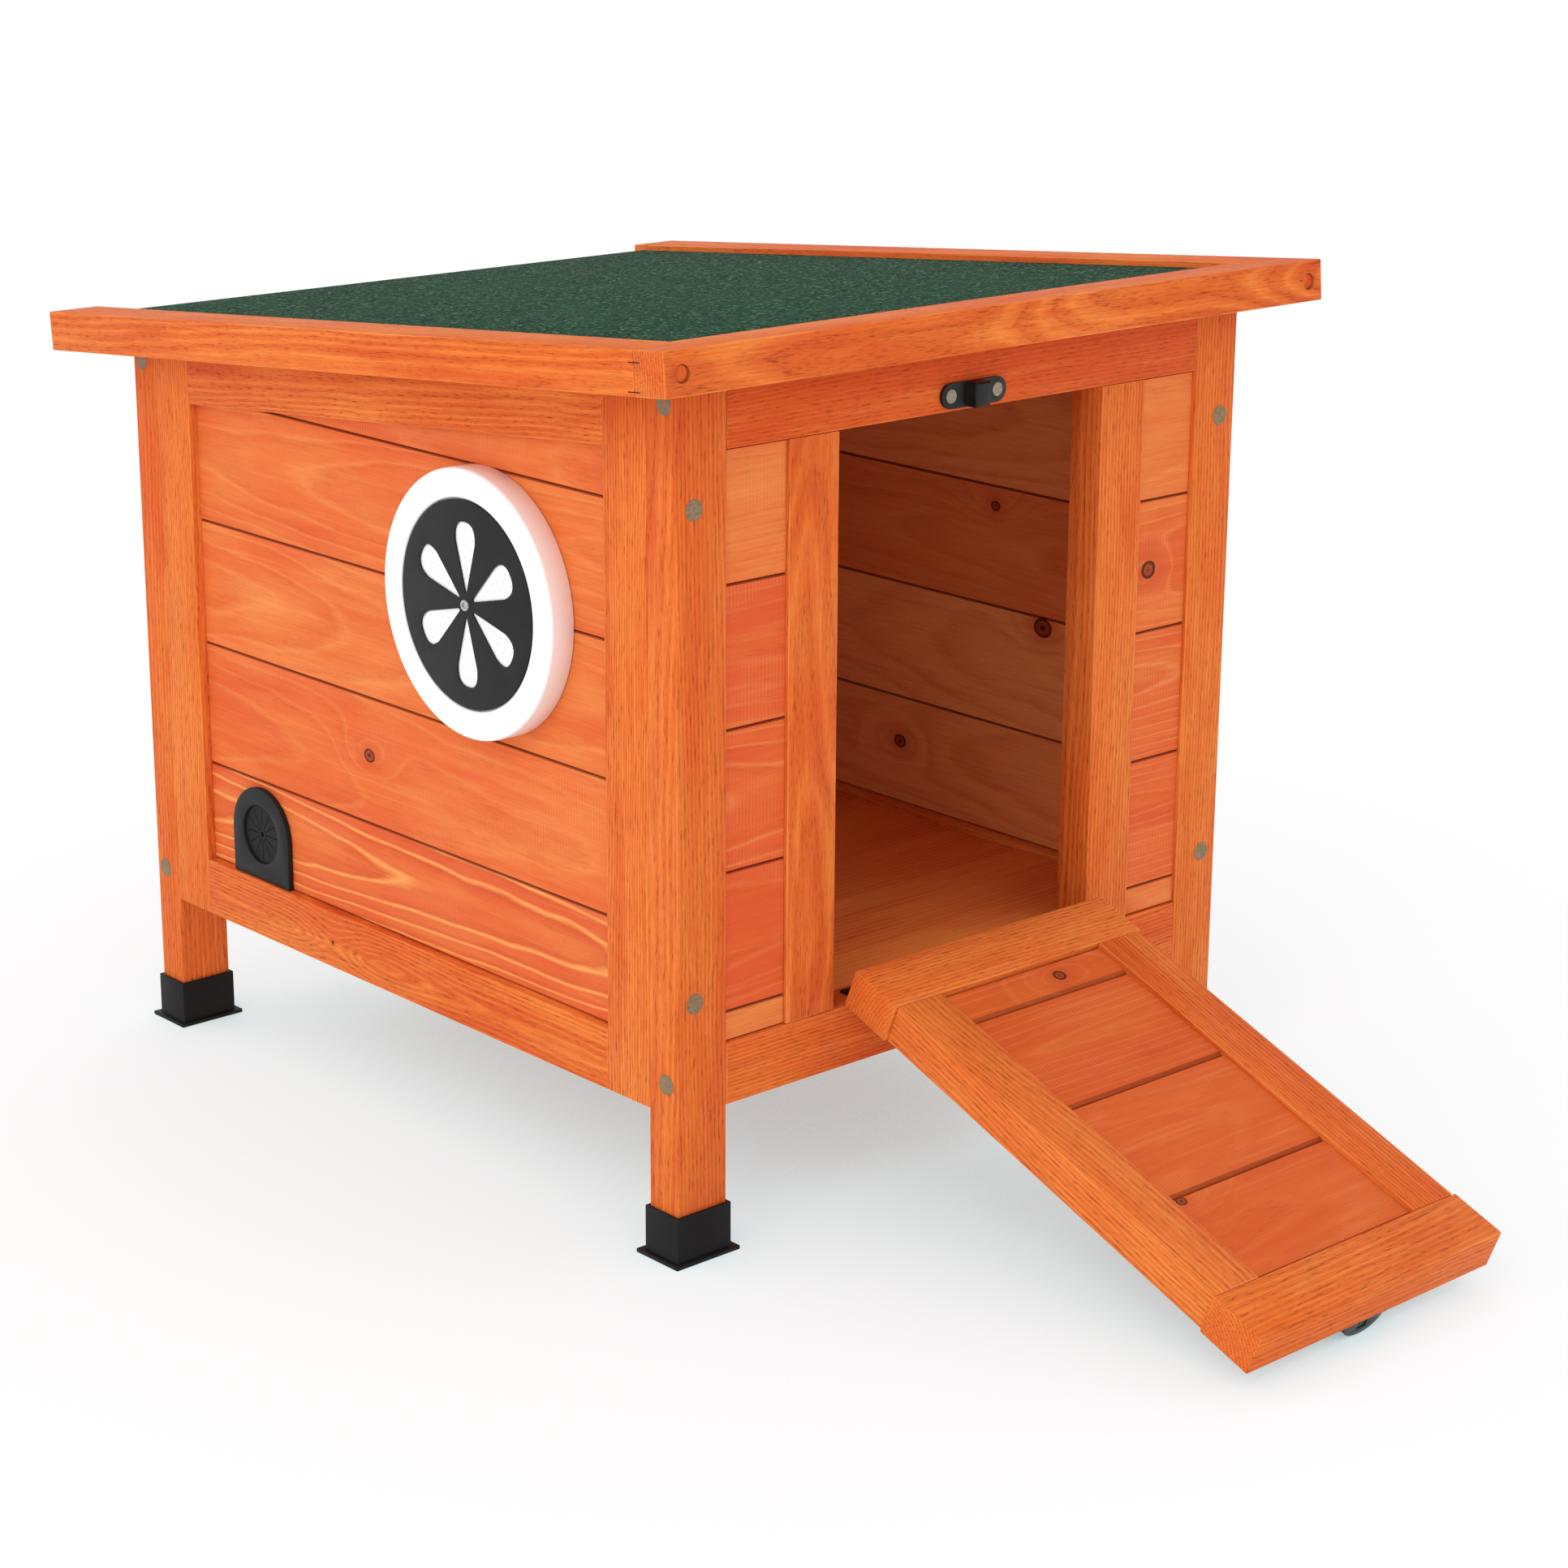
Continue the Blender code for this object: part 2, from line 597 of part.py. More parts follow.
def build_latch(parent):
    """Base plate with an arched guide, and the bolt that slides up through it."""
    back = DOOR_FACE - GAP
    height = DOOR_END - LATCH_INSET - PLATE_WIDTH / 2
    low, high = height - PLATE_WIDTH / 2, height + PLATE_WIDTH / 2
    base = mounting_plate("latch_base", height, back, parent)
    crown = [
        (LATCH_X + x * GUIDE_WIDTH / 2, back - y * GUIDE_RISE) for x, y in arc((0, 0), 1, 2, 178, 16)
    ]
    foot = back - PLATE_THICKNESS / 2
    outline = [(LATCH_X + GUIDE_WIDTH / 2, foot), *crown[1:-1], (LATCH_X - GUIDE_WIDTH / 2, foot)]
    guide = prism("latch_guide", outline, 2, low, high, None, parent)
    combine(base, guide, "UNION")
    seat = back - PLATE_THICKNESS
    half_slot = BOLT_WIDTH / 2 + GAP
    slot_x = (LATCH_X - half_slot, LATCH_X + half_slot)
    slot_y = (seat - BOLT_THICKNESS - 2 * GAP, seat)
    slot = box("latch_slot", slot_x, slot_y, (low - OVERRUN, high + OVERRUN), None, parent)
    combine(base, slot, "DIFFERENCE")

    stop = low - BOLT_TRAVEL - GAP
    half = BOLT_WIDTH / 2
    bar_x = (LATCH_X - half, LATCH_X + half)
    bar_y = (seat - GAP - BOLT_THICKNESS, seat - GAP)
    bolt = box("latch_bolt", bar_x, bar_y, (stop - KNOB_LENGTH, high - BOLT_STEP), "black_metal", parent)
    knob_x = (LATCH_X - KNOB_WIDTH / 2, LATCH_X + KNOB_WIDTH / 2)
    knob_y = (back - GUIDE_RISE, seat - GAP - BOLT_THICKNESS / 2)
    knob = box("latch_knob", knob_x, knob_y, (stop - KNOB_LENGTH + BOLT_STEP, stop), None, parent)
    combine(bolt, knob, "UNION")


def build_keeper(parent):
    """Plate with a hollow block that takes the bolt from below."""
    keeper = mounting_plate("door_keeper", KEEPER_HEIGHT, -GAP, parent)
    block_width, block_proud = KEEPER_BLOCK
    half_height = PLATE_WIDTH / 2 - KEEPER_BLOCK_INSET
    x = (LATCH_X - block_width / 2, LATCH_X + block_width / 2)
    y = (-GAP - PLATE_THICKNESS / 2, -GAP - block_proud)
    z = (KEEPER_HEIGHT - half_height, KEEPER_HEIGHT + half_height)
    block = box("keeper_block", x, y, z, None, parent)
    combine(keeper, block, "UNION")
    socket_width, socket_depth = SOCKET
    x = (LATCH_X - socket_width / 2, LATCH_X + socket_width / 2)
    y = (-PLATE_THICKNESS, -PLATE_THICKNESS - socket_depth)
    z = (KEEPER_HEIGHT - PLATE_WIDTH, KEEPER_HEIGHT + half_height - KEEPER_CEILING)
    socket = box("keeper_socket", x, y, z, None, parent)
    combine(keeper, socket, "DIFFERENCE")


# Round vent, drawn about local Z, which points out of the left wall

def build_vent(parent, boards):
    bore = GRILLE_RADIUS + GAP
    spigot = bore + SPIGOT_WALL
    rim = VENT_RADIUS
    seat = VENT_PROUD - SHUTTER_SINK - SHUTTER_THICKNESS - GAP
    inner_end = -BOARD_THICKNESS - SPIGOT_CLEARANCE
    lip = SHUTTER_RADIUS + SHUTTER_CLEARANCE
    edge = arc((rim - VENT_EDGE_ROUND, VENT_PROUD - VENT_EDGE_ROUND), VENT_EDGE_ROUND, 0, 90, 4)
    profile = [
        (bore, inner_end),
        (spigot, inner_end),
        (spigot, GAP),
        (rim, GAP),
        *edge,
        (lip + SHUTTER_CLEARANCE, VENT_PROUD),
        (lip, VENT_PROUD - SHUTTER_CLEARANCE),
        (lip, seat),
        (bore, seat),
    ]
    turned("vent_housing", profile, 64, "white_plastic", parent)
    through = (-BOARD_THICKNESS - OVERRUN, OVERRUN)
    circle = arc((0, 0), spigot + SPIGOT_CLEARANCE, 0, 354, 59)
    combine(boards, prism("vent_hole", circle, 2, *through, None, parent), "DIFFERENCE")

    low, high = seat - GRILLE_THICKNESS, seat
    disc = [(PIVOT_BORE, low), (GRILLE_RADIUS, low), (GRILLE_RADIUS, high), (PIVOT_BORE, high)]
    grille = turned("vent_grille", disc, 48, "white_plastic", parent)
    combine(grille, grille_holes(low, high, parent), "DIFFERENCE")

    low, high = seat + GAP, seat + GAP + SHUTTER_THICKNESS
    disc = [
        (PIVOT_BORE, low),
        (SHUTTER_RADIUS, low),
        (SHUTTER_RADIUS, high - SHUTTER_CHAMFER),
        (SHUTTER_RADIUS - SHUTTER_CHAMFER, high),
        (PIVOT_BORE, high),
    ]
    shutter = turned("vent_shutter", disc, 64, "black_plastic", parent)
    combine(shutter, petals(low, high, parent), "DIFFERENCE")

    head = high + GAP
    shank = [(0.0, seat - PIVOT_DEPTH), (PIVOT_RADIUS, seat - PIVOT_DEPTH), (PIVOT_RADIUS, head)]
    profile = shank + [(radius, head + height) for radius, height in SCREW_HEAD]
    turned("vent_screw", profile, 16, "bare_steel", parent)


def petals(low, high, parent):
    """Cutter for the shutter's teardrop openings, one of them pointing up."""
    tools = bmesh.new()
    round_end = arc((PETAL_CENTRE, 0), PETAL_RADIUS, -105, 105, 12)
    outline = [(PETAL_TIP, -PETAL_TIP_HALF), *round_end, (PETAL_TIP, PETAL_TIP_HALF)]
    for petal in range(PETAL_COUNT):
        angle = math.tau * petal / PETAL_COUNT
        cosine, sine = math.cos(angle), math.sin(angle)
        turned_outline = [(x * cosine - y * sine, x * sine + y * cosine) for x, y in outline]
        add_prism(tools, turned_outline, 2, low - OVERRUN, high + OVERRUN)
    return finish_mesh("shutter_petals", tools, None, parent)


def grille_holes(low, high, parent):
    """Cutter for the rows of small holes behind each petal."""
    tools = bmesh.new()
    for petal in range(PETAL_COUNT):
        angle = math.tau * petal / PETAL_COUNT
        cosine, sine = math.cos(angle), math.sin(angle)
        for row, count in enumerate(GRILLE_ROWS):
            radius = GRILLE_FIRST_ROW + GRILLE_ROW_PITCH * row
            for place in range(count):
                across = (place - (count - 1) / 2) * GRILLE_HOLE_PITCH
                centre = (radius * cosine - across * sine, radius * sine + across * cosine)
                hole = arc(centre, GRILLE_HOLE_RADIUS, 0, 300, 5)
                add_prism(tools, hole, 2, low - OVERRUN, high + OVERRUN)
    return finish_mesh("grille_punches", tools, None, parent)


# Cable port, drawn about local Z, which points out of the left wall; local X points up

def build_cable_port(parent, boards):
    half = PORT_WIDTH / 2
    foot = GAP - half
    outline = [(foot, -half), *arc((0, 0), half, -90, 90, 16), (foot, half)]
    plate = prism("cable_port_plate", outline, 2, GAP, GAP + PORT_THICKNESS, "black_plastic", parent)
    mouth = arc((0, 0), DIAPHRAGM_RADIUS + GAP, 0, 345, 23)
    through = (-BOARD_THICKNESS - OVERRUN, GAP + PORT_THICKNESS + OVERRUN)
    combine(plate, prism("port_mouth", mouth, 2, *through, None, parent), "DIFFERENCE")
    passage = arc((0, 0), DIAPHRAGM_RADIUS - PASSAGE_LEDGE, 0, 345, 23)
    combine(boards, prism("port_passage", passage, 2, *through, None, parent), "DIFFERENCE")

    low = 2 * GAP
    high = low + DIAPHRAGM_THICKNESS
    eye, rim = DIAPHRAGM_EYE, DIAPHRAGM_RADIUS
    disc = [(eye, low), (rim, low), (rim, high), (eye, high)]
    diaphragm = turned("cable_port_diaphragm", disc, 36, "black_rubber", parent)
    tools = bmesh.new()
    inner_margin, outer_margin = SLIT_MARGINS
    outline = rectangle((eye + inner_margin, rim - outer_margin), (-SLIT_WIDTH / 2, SLIT_WIDTH / 2))
    for slit in range(SLIT_COUNT):
        angle = math.tau * slit / SLIT_COUNT
        cosine, sine = math.cos(angle), math.sin(angle)
        corners = [(x * cosine - y * sine, x * sine + y * cosine) for x, y in outline]
        add_prism(tools, corners, 2, low - OVERRUN, high + OVERRUN)
    combine(diaphragm, finish_mesh("diaphragm_slits", tools, None, parent), "DIFFERENCE")


def build():
    clear_scene()
    MATERIALS.update(make_materials())
    hutch = make_empty("hutch_frame", (0.0, FRONT_FACE, 0.0))
    build_posts(hutch)
    build_front(hutch)
    left_boards = build_side(-1, "left", hutch)
    build_side(1, "right", hutch)
    build_back(hutch)
    build_floor(hutch)
    pin = (0.0, ROOF_PIN_DEPTH, ROOF_PIN_HEIGHT)
    roof = make_empty("roof_frame", pin, (-ROOF_SLOPE, 0.0, 0.0), hutch)
    build_roof(roof)
    roof_pins = make_empty("roof_pins", pin, parent=hutch)
    pin = (0.0, -HINGE_STANDOFF, RAMP_PIN_HEIGHT)
    ramp = make_empty("ramp_frame", pin, (math.pi / 2 + RAMP_TILT, 0.0, 0.0), hutch)
    build_ramp(ramp)
    ramp_pins = make_empty("ramp_pins", pin, parent=hutch)
    build_hinges(ramp_pins, ramp, roof_pins, roof)
    build_latch(ramp)
    build_keeper(hutch)
    outward = (0.0, -math.pi / 2, 0.0)
    board_face = SIDE_RECESS - HALF_WIDTH
    vent = make_empty("vent_frame", (board_face, VENT_Y, VENT_HEIGHT), outward, hutch)
    build_vent(vent, left_boards)
    port_height = OPENING_BOTTOM + PORT_WIDTH / 2
    port = make_empty("port_frame", (board_face, PORT_Y, port_height), outward, hutch)
    build_cable_port(port, left_boards)


MATERIALS = {}
build()
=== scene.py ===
import json
import math
import random

import bmesh
import bpy
from mathutils import Matrix, Vector


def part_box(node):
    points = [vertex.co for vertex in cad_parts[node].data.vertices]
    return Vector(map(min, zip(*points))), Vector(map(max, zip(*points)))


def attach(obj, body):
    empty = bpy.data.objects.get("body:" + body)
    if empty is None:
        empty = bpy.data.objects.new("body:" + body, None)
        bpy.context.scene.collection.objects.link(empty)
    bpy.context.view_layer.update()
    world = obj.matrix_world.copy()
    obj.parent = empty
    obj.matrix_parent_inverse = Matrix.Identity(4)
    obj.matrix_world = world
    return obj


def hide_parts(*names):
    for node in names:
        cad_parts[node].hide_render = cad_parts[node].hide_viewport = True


# The small wooden hutch: its stained battens, boards, felt, plastic fittings and fasteners, built
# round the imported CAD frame. Metres; the doorway faces -Y and the vent is on the -X side.

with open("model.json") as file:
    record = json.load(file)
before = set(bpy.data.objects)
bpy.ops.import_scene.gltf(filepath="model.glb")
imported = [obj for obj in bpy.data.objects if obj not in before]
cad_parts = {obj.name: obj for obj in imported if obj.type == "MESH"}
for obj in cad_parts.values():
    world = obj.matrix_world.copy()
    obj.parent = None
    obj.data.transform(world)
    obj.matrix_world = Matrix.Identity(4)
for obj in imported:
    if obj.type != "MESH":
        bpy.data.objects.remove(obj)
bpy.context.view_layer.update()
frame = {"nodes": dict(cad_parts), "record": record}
RECORD = frame["record"]
BODY_OF = {node: body for body, nodes in RECORD["behaviour"]["bodies"].items() for node in nodes}
SLOT_OF = {part["node"]: part["material_slot"] for part in RECORD["subparts"]}
JOINTS = {joint["name"]: joint for joint in RECORD["behaviour"]["joints"]}

# Directions
ACROSS = Vector((1, 0, 0))
BACKWARD = Vector((0, 1, 0))
UPWARD = Vector((0, 0, 1))
ROOF_SLOPE = math.radians(5.0)
DOWN_ROOF = Vector((0, math.cos(ROOF_SLOPE), -math.sin(ROOF_SLOPE)))
OFF_ROOF = Vector((0, math.sin(ROOF_SLOPE), math.cos(ROOF_SLOPE)))
DOWN_RAMP = Vector(JOINTS["latch_slide"]["axis"]).normalized()
OFF_RAMP = DOWN_RAMP.cross(ACROSS).normalized()
RAMP_PIN = Vector(JOINTS["ramp_hinge"]["pos_m"])

# Each grain is (along it, across the board's face, through the board)
GRAINS = {
    "level": (ACROSS, UPWARD, BACKWARD),
    "deep": (BACKWARD, UPWARD, ACROSS),
    "upright": (UPWARD, ACROSS, BACKWARD),
    "roof": (DOWN_ROOF, ACROSS, OFF_ROOF),
    "ramp": (DOWN_RAMP, ACROSS, OFF_RAMP),
    "ramp_cross": (ACROSS, DOWN_RAMP, OFF_RAMP),
    "flat": (ACROSS, BACKWARD, UPWARD),
}

ROOM_MIDDLE = sum(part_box("floor_panel"), Vector()) / 2

# Sizes of details
BATTEN_ROUND = 0.0005
BOARD_THICKNESS = 0.008
BOARD_CHAMFER = 0.0006
BOARD_GAP = 0.0004
# Strength of the seam colour on boards: stain in the grooves plus painted shade of the grooves
SEAM_STAIN_AND_SHADE = 0.70
RAMP_SEAM_STAIN_AND_SHADE = 0.45
TONGUE = 0.003
RAMP_CHAMFER = 0.0016
BOLT_RADIUS = 0.0049
BOLT_PROUD = 0.00025
SCREW_RADIUS = 0.0033
PLUG_RADIUS = 0.0041
PLUG_DEPTH = 0.0030
PLUG_GAP = 0.0003
PLUG_STAND = 0.0011
PLUG_INSET = 0.0097
PLUG_DROP = 0.0103
# Seam colour strength on the counterbores' walls: stain plus painted shade of the recess
PLUG_STAIN_AND_SHADE = 0.45

# Where the boards of the walls meet, from the floor up
SIDE_FIRST_SEAM = 0.1551
SIDE_SEAM_PITCH = 0.0654
RIGHT_WALL_RAISED = 0.008
FRONT_FIRST_SEAM = 0.1166
FRONT_SEAM_PITCH = 0.0667
SEAM_COUNT = 4
DECK_BOARDS = 6
RAMP_BOARDS = 4
VENT_HOLE_RADIUS = 0.0450
CABLE_HOLE_RADIUS = 0.0130


# Shader graphs

def linear(red, green, blue):
    """A display colour, 0 to 255, as the scene-linear colour that the shader takes."""
    made = []
    for part in (red, green, blue):
        share = part / 255
        made.append(share / 12.92 if share <= 0.04045 else ((share + 0.055) / 1.055) ** 2.4)
    return (*made, 1.0)


class Graph:
    """A material with a Principled shader, and short calls that add its nodes."""

    def __init__(self, name):
        self.material = bpy.data.materials.new(name)
        self.material.use_nodes = True
        self.tree = self.material.node_tree
        self.tree.nodes.clear()
        self.shader = self.tree.nodes.new("ShaderNodeBsdfPrincipled")
        output = self.tree.nodes.new("ShaderNodeOutputMaterial")
        self.tree.links.new(self.shader.outputs[0], output.inputs[0])

    def put(self, socket, value):
        if isinstance(value, bpy.types.NodeSocket):
            self.tree.links.new(value, socket)
        else:
            socket.default_value = value

    def set(self, **values):
        for name, value in values.items():
            self.put(self.shader.inputs[name.replace("_", " ")], value)

    def attribute(self, name, output="Vector"):
        node = self.tree.nodes.new("ShaderNodeAttribute")
        node.attribute_name = name
        return node.outputs[output]

    def place(self):
        return self.tree.nodes.new("ShaderNodeTexCoord").outputs["Object"]

    def split(self, vector):
        node = self.tree.nodes.new("ShaderNodeSeparateXYZ")
        self.put(node.inputs[0], vector)
        return node.outputs[0], node.outputs[1], node.outputs[2]

    def join(self, x, y, z):
        node = self.tree.nodes.new("ShaderNodeCombineXYZ")
        for socket, value in zip(node.inputs, (x, y, z)):
            self.put(socket, value)
        return node.outputs[0]

    def scale(self, vector, factors):
        node = self.tree.nodes.new("ShaderNodeVectorMath")
        node.operation = "MULTIPLY"
        self.put(node.inputs[0], vector)
        self.put(node.inputs[1], factors)
        return node.outputs[0]

    def math(self, operation, first, second=0.0, third=0.0, clamp=False):
        node = self.tree.nodes.new("ShaderNodeMath")
        node.operation = operation
        node.use_clamp = clamp
        for socket, value in zip(node.inputs, (first, second, third)):
            self.put(socket, value)
        return node.outputs[0]

    def noise(self, vector, scale=1.0, detail=2.0, roughness=0.5, distortion=0.0):
        node = self.tree.nodes.new("ShaderNodeTexNoise")
        self.put(node.inputs["Vector"], vector)
        node.inputs["Scale"].default_value = scale
        node.inputs["Detail"].default_value = detail
        node.inputs["Roughness"].default_value = roughness
        node.inputs["Distortion"].default_value = distortion
        return node.outputs["Fac"]

    def cells(self, vector, scale):
        node = self.tree.nodes.new("ShaderNodeTexVoronoi")
        self.put(node.inputs["Vector"], vector)
        node.inputs["Scale"].default_value = scale
        return node.outputs["Distance"], node.outputs["Color"]

    def curve(self, value, *stops):
        """Maps a value through (position, level) stops."""
        node = self.tree.nodes.new("ShaderNodeValToRGB")
        self.put(node.inputs[0], value)
        elements = node.color_ramp.elements
        while len(elements) < len(stops):
            elements.new(0.5)
        for element, (position, level) in zip(elements, stops):
            element.position = position
            element.color = (level, level, level, 1.0)
        return node.outputs[0]

    def mix(self, factor, first, second, blend="MIX"):
        node = self.tree.nodes.new("ShaderNodeMix")
        node.data_type = "RGBA"
        node.blend_type = blend
        self.put(node.inputs[0], factor)
        self.put(node.inputs[6], first)
        self.put(node.inputs[7], second)
        return node.outputs[2]

    def bump(self, height, distance, strength=1.0):
        node = self.tree.nodes.new("ShaderNodeBump")
        node.inputs["Strength"].default_value = strength
        node.inputs["Distance"].default_value = distance
        self.put(node.inputs["Height"], height)
        self.put(self.shader.inputs["Normal"], node.outputs[0])


def wood(name, look):
    """Stained wood: growth rings cut by the board's face, knots, fibres, pores and patchy stain.

    The attributes hold the board's own place: grain is (along, across, through) in metres from
    its pith, knot is (along, across) from its knot and the knot's radius, mood is (lightness,
    strength of figure, redness), and edge is 1 where stain gathers in seams, with painted shade
    of the grooves, and -1 where it is rubbed.
    A redness below 0 is how far the face was left bare of stain.
    """
    g = Graph(name)
    grain = g.attribute("grain")
    lightness, figure, redness = g.split(g.attribute("mood"))
    edge = g.attribute("edge", "Fac")
    along, across, through = g.split(grain)
    knot_along, knot_across, knot_radius = g.split(g.attribute("knot"))

    # Rings round a pith that wanders and leans, so that the face shows cathedral figure
    wander = g.noise(g.scale(grain, (4.0, 12.0, 12.0)), detail=1.0)
    ripple = g.noise(g.scale(grain, (16.0, 60.0, 60.0)), detail=2.0)
    lean = g.math("MULTIPLY_ADD", along, look["lean"], through)
    depth = g.math("MULTIPLY_ADD", g.math("SUBTRACT", wander, 0.5), look["wander"], lean)
    square = g.math("MULTIPLY_ADD", depth, depth, g.math("MULTIPLY", across, across))
    radius = g.math("SQRT", square)
    near_knot = g.math(
        "ADD",
        g.math("POWER", g.math("DIVIDE", knot_along, 0.026), 2.0),
        g.math("POWER", g.math("DIVIDE", knot_across, 0.013), 2.0),
    )
    swirl = g.math("EXPONENT", g.math("MULTIPLY", near_knot, -1.0))
    phase = g.math("DIVIDE", radius, look["ring"])
    phase = g.math("MULTIPLY_ADD", ripple, look["ripple"], phase)
    phase = g.math("MULTIPLY_ADD", swirl, look["swirl"], phase)
    year = g.math("FRACT", phase)
    season = g.curve(year, *look["season"])
    line = g.curve(year, *look["line"])
    figured = g.math("POWER", figure, 1.6)

    # Fibres and pores run along the grain, and saw marks across it
    fibre = g.noise(g.scale(grain, (34.0, 1100.0, 1100.0)), detail=2.0, roughness=0.6)
    streak = g.noise(g.scale(grain, (10.0, 330.0, 330.0)), detail=3.0, roughness=0.6)
    pore = g.noise(g.scale(grain, (160.0, 1700.0, 1700.0)), detail=1.0)
    pore = g.curve(pore, (0.57, 0.0), (0.68, 1.0))
    patch = g.noise(g.scale(grain, (10.0, 30.0, 30.0)), detail=4.0, roughness=0.62)
    blush = g.noise(g.scale(grain, (6.0, 46.0, 46.0)), detail=3.0, distortion=0.5)
    saw = g.math("SINE", g.math("MULTIPLY_ADD", patch, 5.0, g.math("MULTIPLY", along, math.tau / 0.0021)))
    sawn = g.curve(g.noise(g.scale(grain, (14.0, 40.0, 40.0)), detail=1.0), (0.50, 0.0), (0.62, 1.0))

    share = g.math("ADD", patch, g.math("MULTIPLY_ADD", lightness, 0.5, -0.25))
    colour = g.mix(g.curve(share, (0.34, 0.0), (0.66, 1.0)), look["base"], look["light"])
    share = g.math("ADD", blush, g.math("MULTIPLY_ADD", redness, 0.5, -0.25))
    red_share = g.curve(share, (0.44, 0.0), (0.74, 1.0))
    colour = g.mix(g.math("MULTIPLY", red_share, look["blush"]), colour, look["red"])
    bare = g.math("MULTIPLY", redness, -1.0, clamp=True)
    colour = g.mix(bare, colour, look["bare"])
    late = g.math("MULTIPLY", g.math("MULTIPLY", season, figure), look["season_depth"])
    colour = g.mix(late, colour, look["dark"])
    early = g.math("MULTIPLY", g.math("MULTIPLY", line, figured), look["line_depth"])
    colour = g.mix(early, colour, look["line_colour"])
    pale = g.curve(streak, (0.56, 0.0), (0.74, 1.0))
    colour = g.mix(g.math("MULTIPLY", pale, look["streak"]), colour, look["pale"])
    shade = g.curve(streak, (0.28, 1.0), (0.44, 0.0))
    colour = g.mix(g.math("MULTIPLY", shade, look["streak"]), colour, look["dark"])
    fibre_dark = g.curve(fibre, (0.38, 1.0), (0.58, 0.0))
    colour = g.mix(g.math("MULTIPLY", fibre_dark, look["fibre"]), colour, look["dark"])
    pore_share = g.math("MULTIPLY", pore, g.math("MULTIPLY_ADD", season, 0.6, 0.4))
    colour = g.mix(g.math("MULTIPLY", pore_share, look["pores"]), colour, look["deep"])
    saw_share = g.math("MULTIPLY", g.math("MULTIPLY_ADD", saw, 0.5, 0.5), sawn)
    colour = g.mix(g.math("MULTIPLY", saw_share, look["saw"]), colour, look["pale"])

    # The knot: dark bark round a reddish core, in a reddened patch
    flattened = g.math("MULTIPLY", knot_across, 1.2)
    square = g.math("ADD", g.math("POWER", knot_along, 2.0), g.math("POWER", flattened, 2.0))
    reach = g.math("DIVIDE", g.math("SQRT", square), knot_radius)
    reach = g.math("MULTIPLY_ADD", g.math("SUBTRACT", ripple, 0.5), 0.9, reach)
    halo = g.curve(g.math("DIVIDE", reach, 4.0), (0.20, 1.0), (0.80, 0.0))
    colour = g.mix(g.math("MULTIPLY", halo, 0.50), colour, look["dark"])
    core = g.curve(reach, (0.86, 1.0), (1.0, 0.0))
    circles = g.math("MULTIPLY_ADD", g.math("SINE", g.math("MULTIPLY", reach, 22.0)), 0.25, 0.25)
    heart = g.mix(circles, look["knot_heart"], look["knot_dark"])
    bark = g.curve(reach, (0.12, 1.0), (0.26, 0.0), (0.60, 0.0), (0.76, 1.0))
    heart = g.mix(g.math("MULTIPLY", bark, 0.92), heart, look["knot_dark"])
    colour = g.mix(core, colour, heart)

    # Stain gathers in the seams, where the colour is also painted shade of the grooves, and wears off the
    # battens' arrises
    seam_stain_and_shade = g.math("MAXIMUM", edge, 0.0)
    colour = g.mix(seam_stain_and_shade, colour, look["seam"])
    arris = g.math("MAXIMUM", g.math("MULTIPLY", edge, -1.0), 0.0)
    rubbed = g.math("MULTIPLY", arris, g.curve(patch, (0.40, 0.0), (0.60, 0.6)))
    colour = g.mix(rubbed, colour, look["pale"])

    height = g.math("MULTIPLY_ADD", season, -0.35, g.math("MULTIPLY", fibre, 0.5))
    height = g.math("MULTIPLY_ADD", pore_share, -0.6, height)
    height = g.math("MULTIPLY_ADD", bark, g.math("MULTIPLY", core, -0.8), height)
    g.bump(height, look["relief"], 0.7)
    shine = g.math("MULTIPLY_ADD", fibre, 0.16, look["roughness"] - 0.08)
    g.set(Base_Color=colour, Roughness=g.math("MULTIPLY_ADD", pore_share, 0.15, shine))
    g.set(Specular_IOR_Level=0.10)
    return g.material


BATTEN_LOOK = {
    "lean": 0.022,
    "wander": 0.020,
    "ring": 0.0019,
    "ripple": 1.0,
    "swirl": 4.0,
    "season": ((0.0, 0.10), (0.35, 0.0), (0.75, 0.70), (0.90, 1.0), (1.0, 0.10)),
    "line": ((0.10, 0.0), (0.32, 1.0), (0.52, 0.0)),
    "season_depth": 0.46,
    "line_depth": 0.40,
    "line_colour": linear(248, 150, 66),
    "streak": 0.38,
    "fibre": 0.32,
    "pores": 0.62,
    "saw": 0.0,
    "blush": 0.80,
    "relief": 0.00025,
    "roughness": 0.60,
    "light": linear(238, 134, 62),
    "base": linear(229, 111, 44),
    "red": linear(214, 80, 36),
    "dark": linear(196, 76, 24),
    "deep": linear(132, 42, 14),
    "pale": linear(246, 150, 78),
    "knot_heart": linear(140, 58, 26),
    "knot_dark": linear(66, 26, 14),
    # Seam colour, used by the plugs and their holes: stain plus painted shade of the recess
    "seam": linear(96, 32, 12),
    "bare": linear(246, 160, 92),
}
